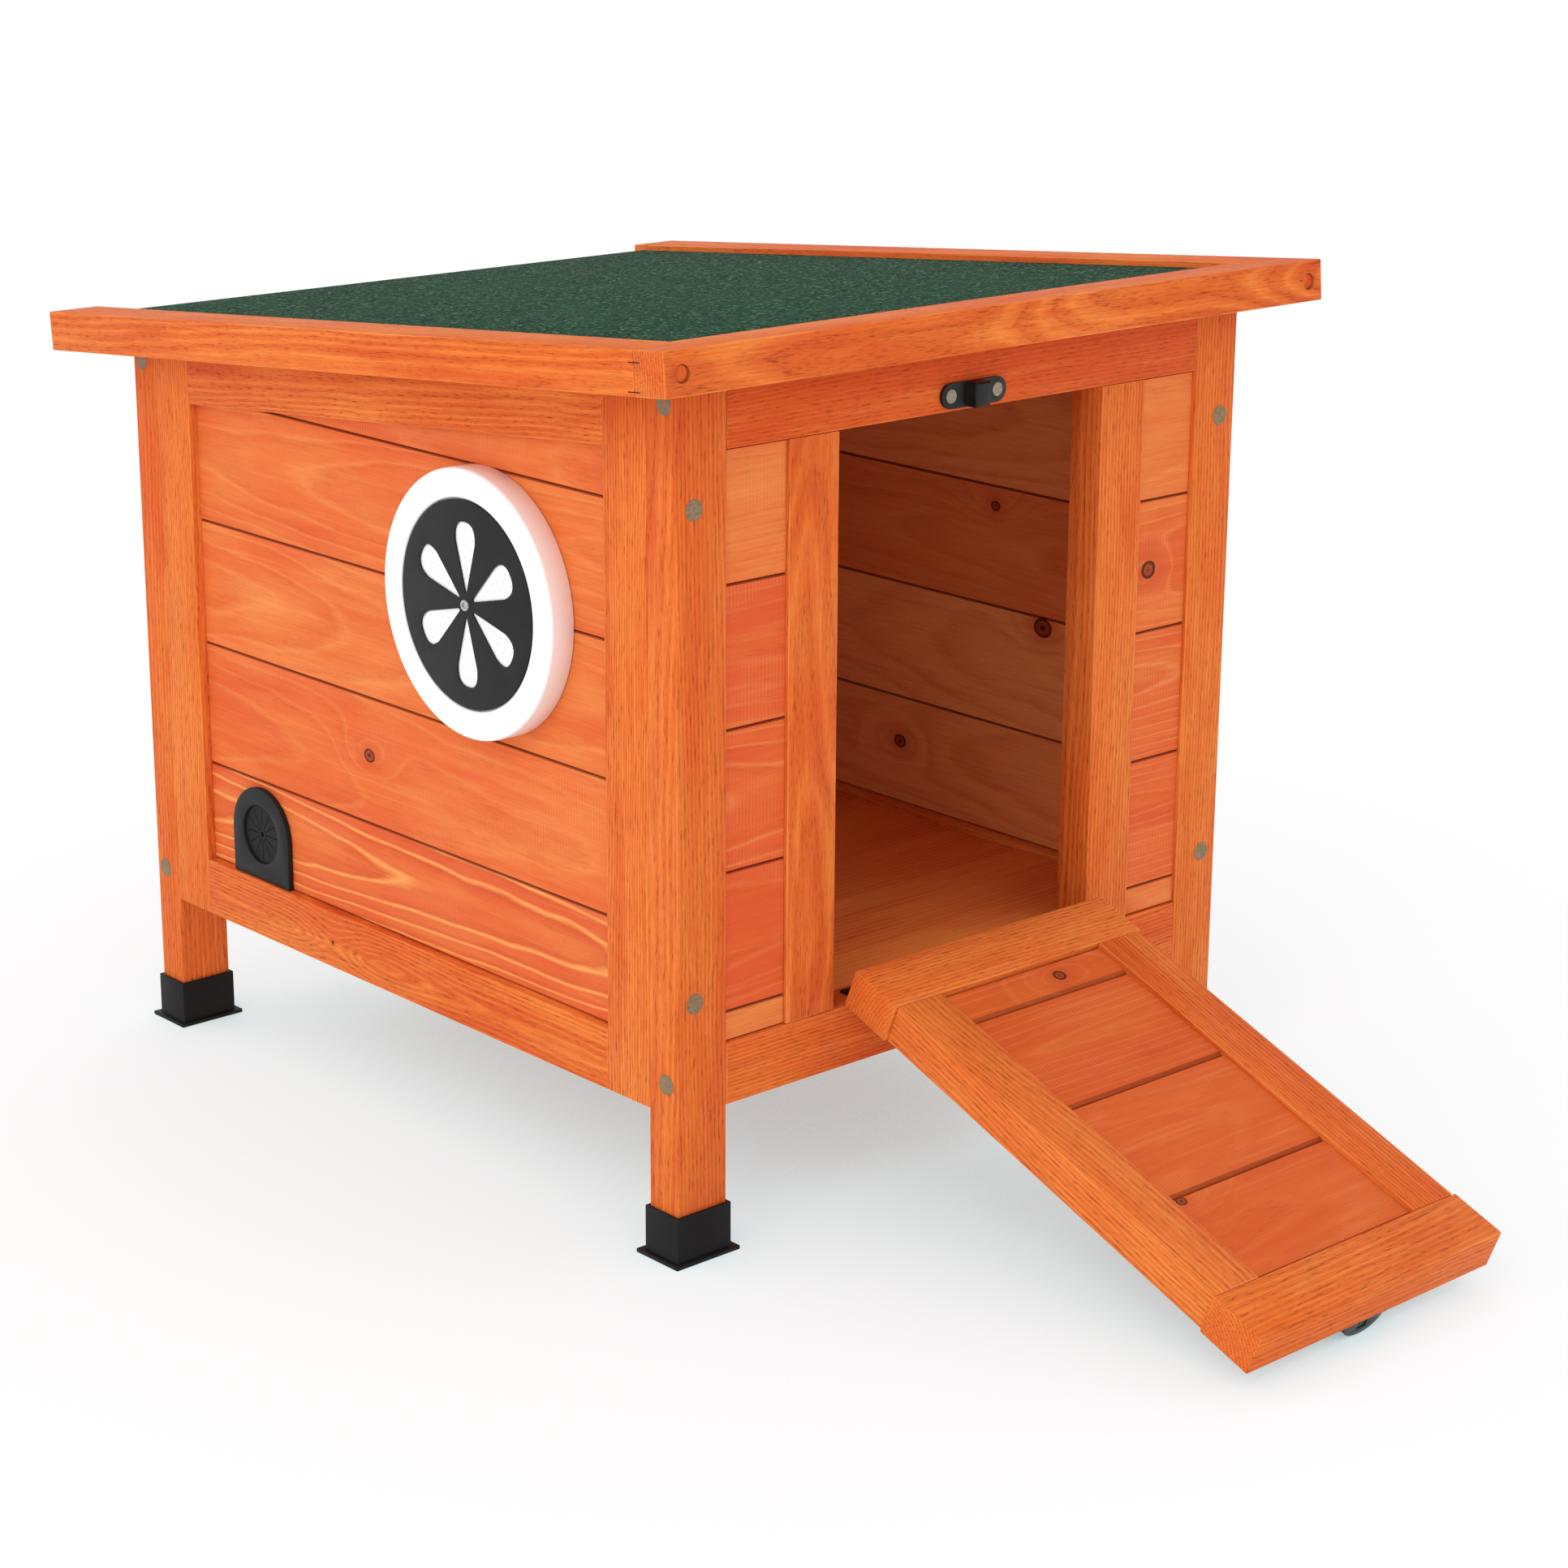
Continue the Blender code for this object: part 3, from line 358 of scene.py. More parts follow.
BOARD_LOOK = {
    "lean": 0.034,
    "wander": 0.012,
    "ring": 0.0044,
    "ripple": 0.70,
    "swirl": 2.4,
    "season": ((0.0, 0.0), (0.45, 0.10), (0.82, 1.0), (0.92, 0.9), (1.0, 0.0)),
    "line": ((0.0, 0.7), (0.10, 0.0), (0.80, 0.0), (0.94, 1.0)),
    "season_depth": 0.42,
    "line_depth": 0.90,
    "line_colour": linear(248, 164, 92),
    "streak": 0.20,
    "fibre": 0.17,
    "pores": 0.14,
    "saw": 0.16,
    "blush": 0.75,
    "relief": 0.00012,
    "roughness": 0.54,
    "light": linear(232, 134, 70),
    "base": linear(229, 112, 54),
    "red": linear(219, 84, 46),
    "dark": linear(200, 76, 34),
    "deep": linear(140, 46, 20),
    "pale": linear(248, 160, 98),
    "knot_heart": linear(172, 78, 38),
    "knot_dark": linear(70, 28, 16),
    # Seam colour: stain in the grooves plus painted shade of the grooves
    "seam": linear(120, 38, 20),
    "bare": linear(250, 172, 106),
}


def felt():
    """Green mineral granules pressed into bitumen."""
    g = Graph("roof_felt")
    place = g.place()
    distance, shade = g.cells(place, 680.0)
    red, green, blue = g.split(shade)
    clump = g.noise(place, 300.0, detail=3.0, roughness=0.7)
    cloud = g.noise(place, 14.0, detail=3.0)
    colour = g.mix(g.curve(green, (0.10, 0.0), (0.90, 1.0)), linear(14, 46, 30), linear(62, 98, 74))
    colour = g.mix(g.curve(red, (0.88, 0.0), (0.97, 0.9)), colour, linear(116, 146, 124))
    colour = g.mix(g.curve(blue, (0.04, 0.9), (0.16, 0.0)), colour, linear(8, 22, 14))
    colour = g.mix(g.curve(clump, (0.36, 0.80), (0.50, 0.0)), colour, linear(12, 34, 22))
    colour = g.mix(g.curve(cloud, (0.40, 0.0), (0.70, 0.25)), colour, linear(44, 84, 62))
    height = g.math("MULTIPLY_ADD", clump, 0.8, g.math("MULTIPLY", distance, -1.0))
    g.bump(height, 0.0009, 0.9)
    g.set(Base_Color=colour, Roughness=g.math("MULTIPLY_ADD", blue, 0.15, 0.8))
    g.set(Specular_IOR_Level=0.06)
    return g.material


def moulded(name, light, dark, roughness, gloss, grain_scale, relief):
    """Plastic, rubber or coated metal: a fine even grain with faint cloudiness and rubbed spots."""
    g = Graph(name)
    place = g.place()
    fine = g.noise(place, grain_scale, detail=3.0, roughness=0.6)
    cloud = g.noise(place, 45.0, detail=3.0, roughness=0.55)
    rubbed = g.curve(g.noise(place, 120.0, detail=4.0, roughness=0.65), (0.60, 0.0), (0.74, 1.0))
    share = g.math("MULTIPLY_ADD", fine, 0.4, g.math("MULTIPLY", cloud, 0.6))
    colour = g.mix(g.curve(share, (0.35, 0.0), (0.65, 1.0)), dark, light)
    g.bump(fine, relief, 0.6)
    level = g.math("MULTIPLY_ADD", cloud, 0.18, roughness - 0.09)
    g.set(Base_Color=colour, Roughness=g.math("MULTIPLY_ADD", rubbed, -0.10, level))
    g.set(Specular_IOR_Level=gloss)
    return g.material


def bare_metal(name, light, dark, roughness, metallic):
    """Zinc-plated steel: mottled plating and scratches."""
    g = Graph(name)
    place = g.place()
    mottle = g.noise(place, 420.0, detail=4.0, roughness=0.65)
    scratch = g.noise(g.scale(place, (300.0, 2600.0, 900.0)), detail=2.0)
    share = g.math("MULTIPLY_ADD", scratch, 0.5, g.math("MULTIPLY", mottle, 0.5))
    colour = g.mix(g.curve(share, (0.36, 0.0), (0.64, 1.0)), dark, light)
    g.bump(share, 0.00006, 0.6)
    g.set(Base_Color=colour, Roughness=g.math("MULTIPLY_ADD", mottle, 0.25, roughness - 0.12))
    g.set(Metallic=metallic, Specular_IOR_Level=0.3)
    return g.material


# The floor glows with painted light, dimmed into painted shadow where it is less open to the sky, one
# (openness, level) curve for each of red, green and blue. With its albedo, that keeps the shade beside
# stained wood nearly grey.
FLOOR_REACH = 0.6
FLOOR_PAINTED_LIGHT = (
    ((0.0, 0.26), (0.15, 0.45), (0.46, 0.58), (1.0, 0.71)),
    ((0.0, 0.30), (0.15, 0.60), (0.46, 0.675), (1.0, 0.752)),
    ((0.0, 0.30), (0.15, 0.62), (0.46, 0.69), (1.0, 0.762)),
)
FLOOR_ALBEDO = (0.31, 0.26, 0.25, 1.0)


def floor_finish():
    """A plain pale studio floor that glows a little with painted light, and less where something stands close
    by, which paints its shadows.
    """
    g = Graph("studio_floor")
    place = g.place()
    cloud = g.noise(place, 1.2, detail=2.0)
    colour = g.mix(cloud, tuple(0.98 * part for part in FLOOR_ALBEDO), FLOOR_ALBEDO)
    g.set(Base_Color=colour, Roughness=g.math("MULTIPLY_ADD", cloud, 0.1, 0.7))
    sky = g.tree.nodes.new("ShaderNodeAmbientOcclusion")
    sky.samples = 8
    sky.inputs["Distance"].default_value = FLOOR_REACH
    # The emission is painted light, darker as painted shadow where ambient occlusion finds something close
    painted_light = g.join(*[g.curve(sky.outputs["AO"], *stops) for stops in FLOOR_PAINTED_LIGHT])
    g.set(Specular_IOR_Level=0.1, Emission_Color=painted_light, Emission_Strength=1.0)
    return g.material


FLOOR_PLY_LOOK = BOARD_LOOK | {
    "light": linear(252, 144, 70),
    "base": linear(242, 120, 54),
    "red": linear(216, 88, 40),
    "season_depth": 0.14,
    "fibre": 0.12,
    "saw": 0.0,
}
RAMP_BOARD_LOOK = BOARD_LOOK | {
    "light": linear(226, 118, 52),
    "base": linear(218, 100, 42),
    "red": linear(208, 78, 34),
    # Seam colour: stain in the grooves plus painted shade of the grooves
    "seam": linear(96, 30, 12),
}
WOODS = {
    "stained_batten": BATTEN_LOOK,
    "stained_board": BOARD_LOOK,
    "floor_ply": FLOOR_PLY_LOOK,
    "ramp_board": RAMP_BOARD_LOOK,
}
# Light and dark colour, roughness, gloss, grains per metre and depth of the grain
MOULDED = {
    "black_plastic": (linear(33, 33, 34), linear(25, 25, 26), 0.50, 0.20, 1500.0, 0.00005),
    "cap_plastic": (linear(25, 25, 26), linear(18, 18, 19), 0.50, 0.16, 1500.0, 0.00005),
    "white_plastic": (linear(253, 253, 253), linear(249, 249, 249), 0.36, 0.50, 900.0, 0.00002),
    "black_metal": (linear(19, 21, 22), linear(10, 11, 12), 0.34, 0.30, 1200.0, 0.00003),
    "black_rubber": (linear(27, 27, 28), linear(19, 19, 20), 0.62, 0.20, 700.0, 0.00006),
}
# Light and dark colour, roughness and metallic share
METALS = {
    "bare_steel": (linear(206, 204, 200), linear(170, 168, 164), 0.38, 0.90),
    "bolt_face": (linear(152, 130, 100), linear(124, 104, 78), 0.50, 0.35),
    "screw_face": (linear(166, 156, 140), linear(132, 122, 108), 0.42, 0.45),
}
MATERIALS = {"roof_felt": felt()}
MATERIALS |= {name: wood(name, look) for name, look in WOODS.items()}
MATERIALS |= {name: moulded(name, *values) for name, values in MOULDED.items()}
MATERIALS |= {name: bare_metal(name, *values) for name, values in METALS.items()}


# Mesh helpers

def finish_shape(shape, name, smooth_under=35.0):
    bmesh.ops.recalc_face_normals(shape, faces=shape.faces)
    mesh = bpy.data.meshes.new(name)
    shape.to_mesh(mesh)
    shape.free()
    mesh.shade_smooth()
    mesh.set_sharp_from_angle(angle=math.radians(smooth_under))
    made = bpy.data.objects.new(name, mesh)
    bpy.context.scene.collection.objects.link(made)
    return made


def copy_of(node):
    """The CAD node's shape with its flat faces whole again."""
    shape = bmesh.new()
    shape.from_mesh(frame["nodes"][node].data)
    bmesh.ops.remove_doubles(shape, verts=shape.verts, dist=1e-6)
    bmesh.ops.dissolve_limit(shape, angle_limit=math.radians(0.5), verts=shape.verts, edges=shape.edges)
    return shape


def round_edges(shape, width, segments=2, sharper_than=40.0):
    limit = math.radians(sharper_than)
    edges = [e for e in shape.edges if len(e.link_faces) == 2 and e.calc_face_angle(0) > limit]
    bmesh.ops.bevel(
        shape, geom=edges, offset=width, offset_type="OFFSET", segments=segments, profile=0.5,
        affect="EDGES", clamp_overlap=True, harden_normals=False,
    )


def cut(made, shape, operation="DIFFERENCE"):
    """Cuts the object with a shape and keeps the result as its mesh."""
    tool = finish_shape(shape, f"{made.name}_tool")
    modifier = made.modifiers.new("cut", "BOOLEAN")
    modifier.operation = operation
    modifier.solver = "EXACT"
    modifier.object = tool
    graph = bpy.context.evaluated_depsgraph_get()
    mesh = bpy.data.meshes.new_from_object(made.evaluated_get(graph))
    mesh.shade_smooth()
    mesh.set_sharp_from_angle(angle=math.radians(35))
    made.modifiers.clear()
    made.data = mesh
    bpy.data.objects.remove(tool)


def turned(profile, place, segments=48):
    """Turns an open profile of (radius, height) that starts and ends on the axis, then places it."""
    shape = bmesh.new()
    rings = []
    for radius, height in profile:
        count = 1 if radius == 0 else segments
        ring = []
        for i in range(count):
            angle = math.tau * i / segments
            point = Vector((radius * math.cos(angle), radius * math.sin(angle), height))
            ring.append(shape.verts.new(place @ point))
        rings.append(ring)
    for ring, other in zip(rings, rings[1:]):
        for i in range(segments):
            j = (i + 1) % segments
            corners = [ring[i % len(ring)], ring[j % len(ring)], other[j % len(other)], other[i % len(other)]]
            shape.faces.new(list(dict.fromkeys(corners)))
    return shape


def extruded(outline, place, low, high):
    """A flat outline between two heights, then placed."""
    shape = bmesh.new()
    ends = [[shape.verts.new(place @ Vector((x, y, level))) for x, y in outline] for level in (low, high)]
    shape.faces.new(ends[0])
    shape.faces.new(ends[1])
    for i in range(len(outline)):
        j = (i + 1) % len(outline)
        shape.faces.new((ends[0][i], ends[0][j], ends[1][j], ends[1][i]))
    return shape


def axes_at(centre, outward, up=UPWARD):
    """Local Z points outward from a surface and local X along the other direction."""
    z = Vector(outward).normalized()
    x = (Vector(up) - Vector(up).dot(z) * z).normalized()
    y = z.cross(x)
    turn = Matrix((x, y, z)).transposed().to_4x4()
    return Matrix.Translation(Vector(centre)) @ turn


def dress(made, body, material, nodes=()):
    """Gives the piece its material and body, and hides the CAD nodes that it stands for."""
    made.data.materials.clear()
    made.data.materials.append(MATERIALS[material])
    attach(made, body)
    if nodes:
        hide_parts(*nodes)
    return made


def lay_grain(made, grain, knot=None, mood=None, seam=0.0, quartered=False, pith=None, inner=None):
    """Stores each point's place in the board, its mood and its edges: see wood().

    Where inner is given, it is the mood of the face that looks into the hutch.
    """
    draw = random.Random(made.name)
    shift = Vector((draw.uniform(-3.0, 3.0), draw.uniform(-0.010, 0.010), draw.uniform(0.012, 0.045)))
    if quartered:
        shift.y = draw.choice((-1, 1)) * draw.uniform(0.030, 0.060)
        shift.z = draw.uniform(0.010, 0.030)
    if pith is not None:
        shift.y, shift.z = pith
    drawn = (draw.uniform(0.35, 0.7), draw.uniform(0.7, 1.0), draw.uniform(0.25, 0.65))
    mood = mood or drawn
    mesh = made.data
    directions = GRAINS[grain]
    places = [Vector(direction.dot(v.co) for direction in directions) for v in mesh.vertices]
    low = Vector(min(p[i] for p in places) for i in range(3))
    high = Vector(max(p[i] for p in places) for i in range(3))
    middle = (low + high) / 2
    centre, radius = Vector((50.0, 50.0, 0.0)), 0.001
    if knot:
        along, across, radius = knot
        centre = Vector((low.x + along * (high.x - low.x), low.y + across * (high.y - low.y), 0.0))
    room = directions[2].dot(ROOM_MIDDLE) - middle.z
    rows = {"grain": [], "knot": [], "mood": []}
    for place in places:
        rows["grain"].extend((place - Vector((0.0, middle.y, middle.z)) + shift)[:])
        rows["knot"].extend((place.x - centre.x, place.y - centre.y, radius))
        rows["mood"].extend(inner if inner and (place.z - middle.z) * room > 0 else mood)
    for name, values in rows.items():
        mesh.attributes.new(name, "FLOAT_VECTOR", "POINT").data.foreach_set("vector", values)
    edges = []
    for face in mesh.polygons:
        steepest = max(abs(face.normal.dot(direction)) for direction in directions)
        # Chamfers and tongues take the seam colour: stain plus painted shade of the grooves
        if seam:
            flat = abs(face.normal.dot(directions[2])) > 0.95 or abs(face.normal.dot(directions[0])) > 0.95
            edges.append(0.0 if flat else seam)
        else:
            edges.append(-1.0 if steepest < 0.99 else 0.0)
    mesh.attributes.new("edge", "FLOAT", "FACE").data.foreach_set("value", edges)


# Battens: the CAD shapes with their edges eased, each with its own grain

GRAIN_OF = {
    "post": "upright",
    "door_jamb": "upright",
    "left_stile": "upright",
    "right_stile": "upright",
    "back_stile": "upright",
    "front_top_rail": "level",
    "front_sill": "level",
    "back_top_rail": "level",
    "back_bottom_rail": "level",
    "left_bottom_rail": "deep",
    "right_bottom_rail": "deep",
    "left_top_rail": "roof",
    "right_top_rail": "roof",
    "roof_batten_front": "level",
    "roof_batten_left": "roof",
    "roof_batten_right": "roof",
    "ramp_rail": "ramp",
    "ramp_hinge_batten": "ramp_cross",
    "ramp_end_batten": "ramp_cross",
    "floor_panel": "flat",
}
BATTEN_KNOTS = {"left_bottom_rail": (0.66, 0.45, 0.0014)}
# Lightness, strength of figure and redness, where they aren't drawn
BATTEN_MOODS = {
    "front_top_rail": (0.1, 0.45, 1.0),
    "front_sill": (0.25, 0.9, 0.8),
    "roof_batten_front": (0.45, 1.0, 0.6),
}
# Battens cut so near the pith that their faces show figure, with its place across and through
FIGURED = {
    "door_jamb_left": (0.0, 0.010),
    "left_bottom_rail": (0.003, 0.012),
    "roof_batten_front": (0.004, 0.014),
}


def adopt(node, width, segments=2, sharper_than=40.0):
    shape = copy_of(node)
    if width:
        round_edges(shape, width, segments, sharper_than)
    return finish_shape(shape, f"{node}_shown")


def build_battens():
    for node in sorted(SLOT_OF):
        grain = next((GRAIN_OF[key] for key in GRAIN_OF if node.startswith(key)), None)
        if grain is None:
            continue
        made = adopt(node, BATTEN_ROUND)
        if node == "roof_batten_front":
            bore_plug_holes(made)
        quartered, pith = node not in FIGURED, FIGURED.get(node)
        lay_grain(made, grain, BATTEN_KNOTS.get(node), BATTEN_MOODS.get(node), quartered=quartered, pith=pith)
        if node == "roof_batten_front":
            stain_and_shade_plug_holes(made)
        dress(made, BODY_OF[node], SLOT_OF[node], [node])


def plug_places():
    """Middles of the counterbores in the front face of the roof's front batten."""
    low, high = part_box("roof_batten_front")
    for side, x in (("left", low.x + PLUG_INSET), ("right", high.x - PLUG_INSET)):
        yield side, axes_at((x, low.y, high.z - PLUG_DROP), -BACKWARD)


def bore_plug_holes(made):
    for _, place in plug_places():
        profile = ((0.0, -PLUG_DEPTH), (PLUG_RADIUS, -PLUG_DEPTH), (PLUG_RADIUS, 0.004), (0.0, 0.004))
        cut(made, turned(profile, place, 32))


def stain_and_shade_plug_holes(made):
    """Stain gathers on the walls of the counterbores, which also take painted shade of the recess."""
    edges = made.data.attributes["edge"].data
    for _, place in plug_places():
        back = place.inverted()
        for face in made.data.polygons:
            at = back @ face.center
            if math.hypot(at.x, at.y) < PLUG_RADIUS + 0.0003 and -PLUG_DEPTH - 0.0003 < at.z < -0.0001:
                edges[face.index].value = PLUG_STAIN_AND_SHADE


def build_plugs():
    """A sunk wooden plug in each counterbore."""
    for side, place in plug_places():
        radius = PLUG_RADIUS - PLUG_GAP
        top = -PLUG_DEPTH + PLUG_STAND
        profile = (
            (0.0, -PLUG_DEPTH + 0.0001), (radius, -PLUG_DEPTH + 0.0001), (radius, top - 0.0003),
            (radius - 0.0003, top), (0.0, top),
        )
        made = finish_shape(turned(profile, place, 32), f"roof_plug_{side}")
        # The plug's sides and chamfer take the seam colour: stain plus painted shade of the gap round it
        lay_grain(made, "upright", mood=(0.1, 1.0, 0.9), seam=0.5)
        dress(made, "roof", "stained_batten")


# Boards

def plank(length, low, high, thickness, chamfer, first, last):
    """A tongue-and-groove board in local axes: X along it, Y across it, Z up through its face.

    The first board has no groove and the last has no tongue.
    """
    groove = 0.0 if first else TONGUE
    tongue = 0.0 if last else TONGUE
    shape = bmesh.new()
    third = thickness / 3
    slack = 0.0002
    outline = [(low + chamfer, thickness), (high - chamfer, thickness), (high, thickness - chamfer)]
    if tongue:
        outline += [(high, 2 * third), (high + tongue, 2 * third), (high + tongue, third), (high, third)]
    outline += [(high, chamfer), (high - chamfer, 0.0), (low + chamfer, 0.0), (low, chamfer)]
    if groove:
        floor = low + groove + slack
        under, over = third - slack, 2 * third + slack
        outline += [(low, under), (floor, under), (floor, over), (low, over)]
    outline += [(low, thickness - chamfer)]
    ends = []
    for x in length:
        ends.append([shape.verts.new((x, y, z)) for y, z in outline])
    shape.faces.new(ends[0])
    shape.faces.new(ends[1])
    for i in range(len(outline)):
        j = (i + 1) % len(outline)
        shape.faces.new((ends[0][i], ends[0][j], ends[1][j], ends[1][i]))
    bmesh.ops.recalc_face_normals(shape, faces=shape.faces)
    return shape


def local_box(node, place):
    """The CAD node's lowest and highest corners in the axes of the place."""
    back = place.inverted()
    points = [back @ v.co for v in frame["nodes"][node].data.vertices]
    return [Vector(extreme(p[i] for p in points) for i in range(3)) for extreme in (min, max)]


def clip(shape, point, outward):
    """Cuts away what lies beyond the plane, and closes the cut."""
    everything = shape.verts[:] + shape.edges[:] + shape.faces[:]
    bmesh.ops.bisect_plane(
        shape, geom=everything, dist=1e-6, plane_co=point, plane_no=outward, clear_outer=True,
    )
    open_edges = [e for e in shape.edges if e.is_boundary]
    if open_edges:
        bmesh.ops.holes_fill(shape, edges=open_edges, sides=0)


def side_seams(raised=0.0):
    return [SIDE_FIRST_SEAM + raised + SIDE_SEAM_PITCH * course for course in range(SEAM_COUNT)]


def front_seams():
    return [FRONT_FIRST_SEAM + FRONT_SEAM_PITCH * course for course in range(SEAM_COUNT)]


def lay_boards(node, grain, place, length, levels, knots, top=None, holes=(), moods=None, inner=None):
    """Boards between the levels, in the place of one boarded CAD panel."""
    made = []
    count = len(levels) - 1
    for course in range(count):
        first, last = course == 0, course == count - 1
        low = levels[course] + (0.0 if first else BOARD_GAP / 2)
        high = levels[course + 1] - (0.0 if last else BOARD_GAP / 2)
        shape = plank(length, low, high, BOARD_THICKNESS, BOARD_CHAMFER, first, last)
        shape.transform(place)
        if top:
            clip(shape, *top)
        if not shape.verts:
            shape.free()
            continue
        board = finish_shape(shape, f"{node}_{course + 1}")
        for centre, radius in holes:
            profile = ((0.0, -0.03), (radius, -0.03), (radius, 0.03), (0.0, 0.03))
            cut(board, turned(profile, axes_at(centre, -ACROSS), 64))
        outside = (moods or {}).get(course + 1)
        bareness = 0.6 + 0.12 * ((course * 2 + len(node)) % 4)
        inside = (inner or {}).get(course + 1, (0.6, 0.5, -bareness))
        lay_grain(board, grain, knots.get(course + 1), outside, SEAM_STAIN_AND_SHADE, inner=inside)
        dress(board, BODY_OF[node], SLOT_OF[node], [node] if not made else ())
        made.append(board)
    return made


def sloped_top(node):
    """The plane of a side panel's upper edge, as (point, direction out of the wall)."""
    points = [v.co for v in frame["nodes"][node].data.vertices]
    low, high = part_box(node)
    front = max(p.z for p in points if p.y < low.y + 0.001)
    back = max(p.z for p in points if p.y > high.y - 0.001)
    slope = Vector((0, high.y - low.y, back - front)).normalized()
    return Vector((0, low.y, front)), ACROSS.cross(slope)


LEFT_KNOTS = {2: (0.57, 0.52, 0.0042)}
RIGHT_KNOTS = {1: (0.51, 0.55, 0.0048), 2: (0.19, 0.88, 0.0062), 3: (0.30, 0.80, 0.0038)}
BACK_KNOTS = {1: (0.70, 0.5, 0.0040), 3: (0.30, 0.55, 0.0044)}
STRIP_KNOTS = {"front_boards_right": {4: (0.25, 0.45, 0.0062)}, "front_boards_left": {}}

# Lightness, strength of figure and redness, by course from the bottom
LEFT_MOODS = {
    1: (0.5, 1.0, 0.80), 2: (0.30, 0.36, 0.60), 3: (0.45, 0.44, 0.40), 4: (0.45, 0.46, 0.45),
    5: (0.25, 0.4, 0.6),
}
RIGHT_MOODS = {
    1: (0.5, 0.60, 0.5), 2: (0.4, 0.50, 0.4), 3: (0.5, 0.60, 0.4), 4: (0.4, 0.50, 0.5), 5: (0.5, 0.4, 0.4),
}
RIGHT_INNER_MOODS = {
    1: (0.6, 0.6, -0.85), 2: (0.7, 0.5, -1.0), 3: (0.5, 0.45, -0.25), 4: (0.5, 0.6, -0.8),
    5: (0.5, 0.5, -0.6),
}
STRIP_MOODS = {
    "front_boards_left": {
        1: (0.9, 0.3, 0.1), 2: (0.0, 0.3, 1.0), 3: (0.20, 0.5, 0.8), 4: (0.0, 0.3, 1.0), 5: (0.6, 0.35, 0.2),
    },
    "front_boards_right": {
        1: (0.7, 0.3, 0.3), 2: (0.2, 0.4, 0.8), 3: (0.35, 0.55, 0.6), 4: (0.4, 0.45, 0.5), 5: (0.5, 0.3, 0.3),
    },
}


def build_walls():
    vent_low, vent_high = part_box("vent_housing")
    vent = (vent_low + vent_high) / 2
    port_low, port_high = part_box("cable_port_diaphragm")
    port = (port_low + port_high) / 2
    holes = [(vent, VENT_HOLE_RADIUS), (port, CABLE_HOLE_RADIUS)]
    sides = (
        (-1, "left", LEFT_KNOTS, LEFT_MOODS, None, holes, 0.0),
        (1, "right", RIGHT_KNOTS, RIGHT_MOODS, RIGHT_INNER_MOODS, (), RIGHT_WALL_RAISED),
    )
    for side, name, knots, moods, inner, cut_holes, raised in sides:
        node = f"{name}_boards"
        low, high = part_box(node)
        outer = low.x if side < 0 else high.x
        # Local X runs along the wall, Y up and Z outward, so the left wall's boards run backwards
        turn = Matrix(((0, 0, side), (side, 0, 0), (0, 1, 0))).to_4x4()
        place = Matrix.Translation((outer - side * BOARD_THICKNESS, 0, 0)) @ turn
        length = sorted((side * low.y, side * high.y))
        levels = [low.z, *side_seams(raised), high.z + 0.01]
        lay_boards(node, "deep", place, length, levels, knots, sloped_top(node), cut_holes, moods, inner)

    for name in ("front_boards_left", "front_boards_right"):
        low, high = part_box(name)
        turn = Matrix(((1, 0, 0), (0, 0, -1), (0, 1, 0))).to_4x4()
        place = Matrix.Translation((0, low.y + BOARD_THICKNESS, 0)) @ turn
        levels = [low.z, *front_seams(), high.z]
        lay_boards(name, "level", place, (low.x, high.x), levels, STRIP_KNOTS[name], moods=STRIP_MOODS[name])

    low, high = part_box("back_boards")
    turn = Matrix(((-1, 0, 0), (0, 0, 1), (0, 1, 0))).to_4x4()
    place = Matrix.Translation((0, high.y - BOARD_THICKNESS, 0)) @ turn
    levels = [low.z, *[z for z in side_seams() if z < high.z - 0.01], high.z]
    lay_boards("back_boards", "level", place, (-high.x, -low.x), levels, BACK_KNOTS)


def build_deck():
    """The roof's deck boards, which show from below when the roof is up."""
    node = "roof_deck"
    low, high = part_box(node)
    corner = Vector((0, low.y, high.z))
    turn = Matrix((ACROSS, DOWN_ROOF, OFF_ROOF)).transposed().to_4x4()
    place = Matrix.Translation(corner) @ turn
    deck_low, deck_high = local_box(node, place)
    pitch = (deck_high.y - deck_low.y) / DECK_BOARDS
    for course in range(DECK_BOARDS):
        first, last = course == 0, course == DECK_BOARDS - 1
        start = deck_low.y + course * pitch
        ends = (start + (0.0 if first else BOARD_GAP / 2), start + pitch - (0.0 if last else BOARD_GAP / 2))
        shape = plank((low.x, high.x), *ends, deck_high.z - deck_low.z, BOARD_CHAMFER, first, last)
        shape.transform(place @ Matrix.Translation((0, 0, deck_low.z)))
        board = finish_shape(shape, f"roof_deck_{course + 1}")
        knot = (0.25 + 0.09 * course, 0.5, 0.0034) if course % 2 else None
        lay_grain(board, "flat", knot, seam=SEAM_STAIN_AND_SHADE)
        dress(board, "roof", "stained_board", [node] if first else ())


RAMP_KNOTS = {1: (0.66, 0.42, 0.0044), 4: (0.05, 0.06, 0.0030)}
RAMP_MOODS = {1: (0.0, 0.3, 0.5), 2: (0.1, 0.35, 0.6), 3: (0.15, 0.2, 0.45), 4: (0.1, 0.2, 0.5)}


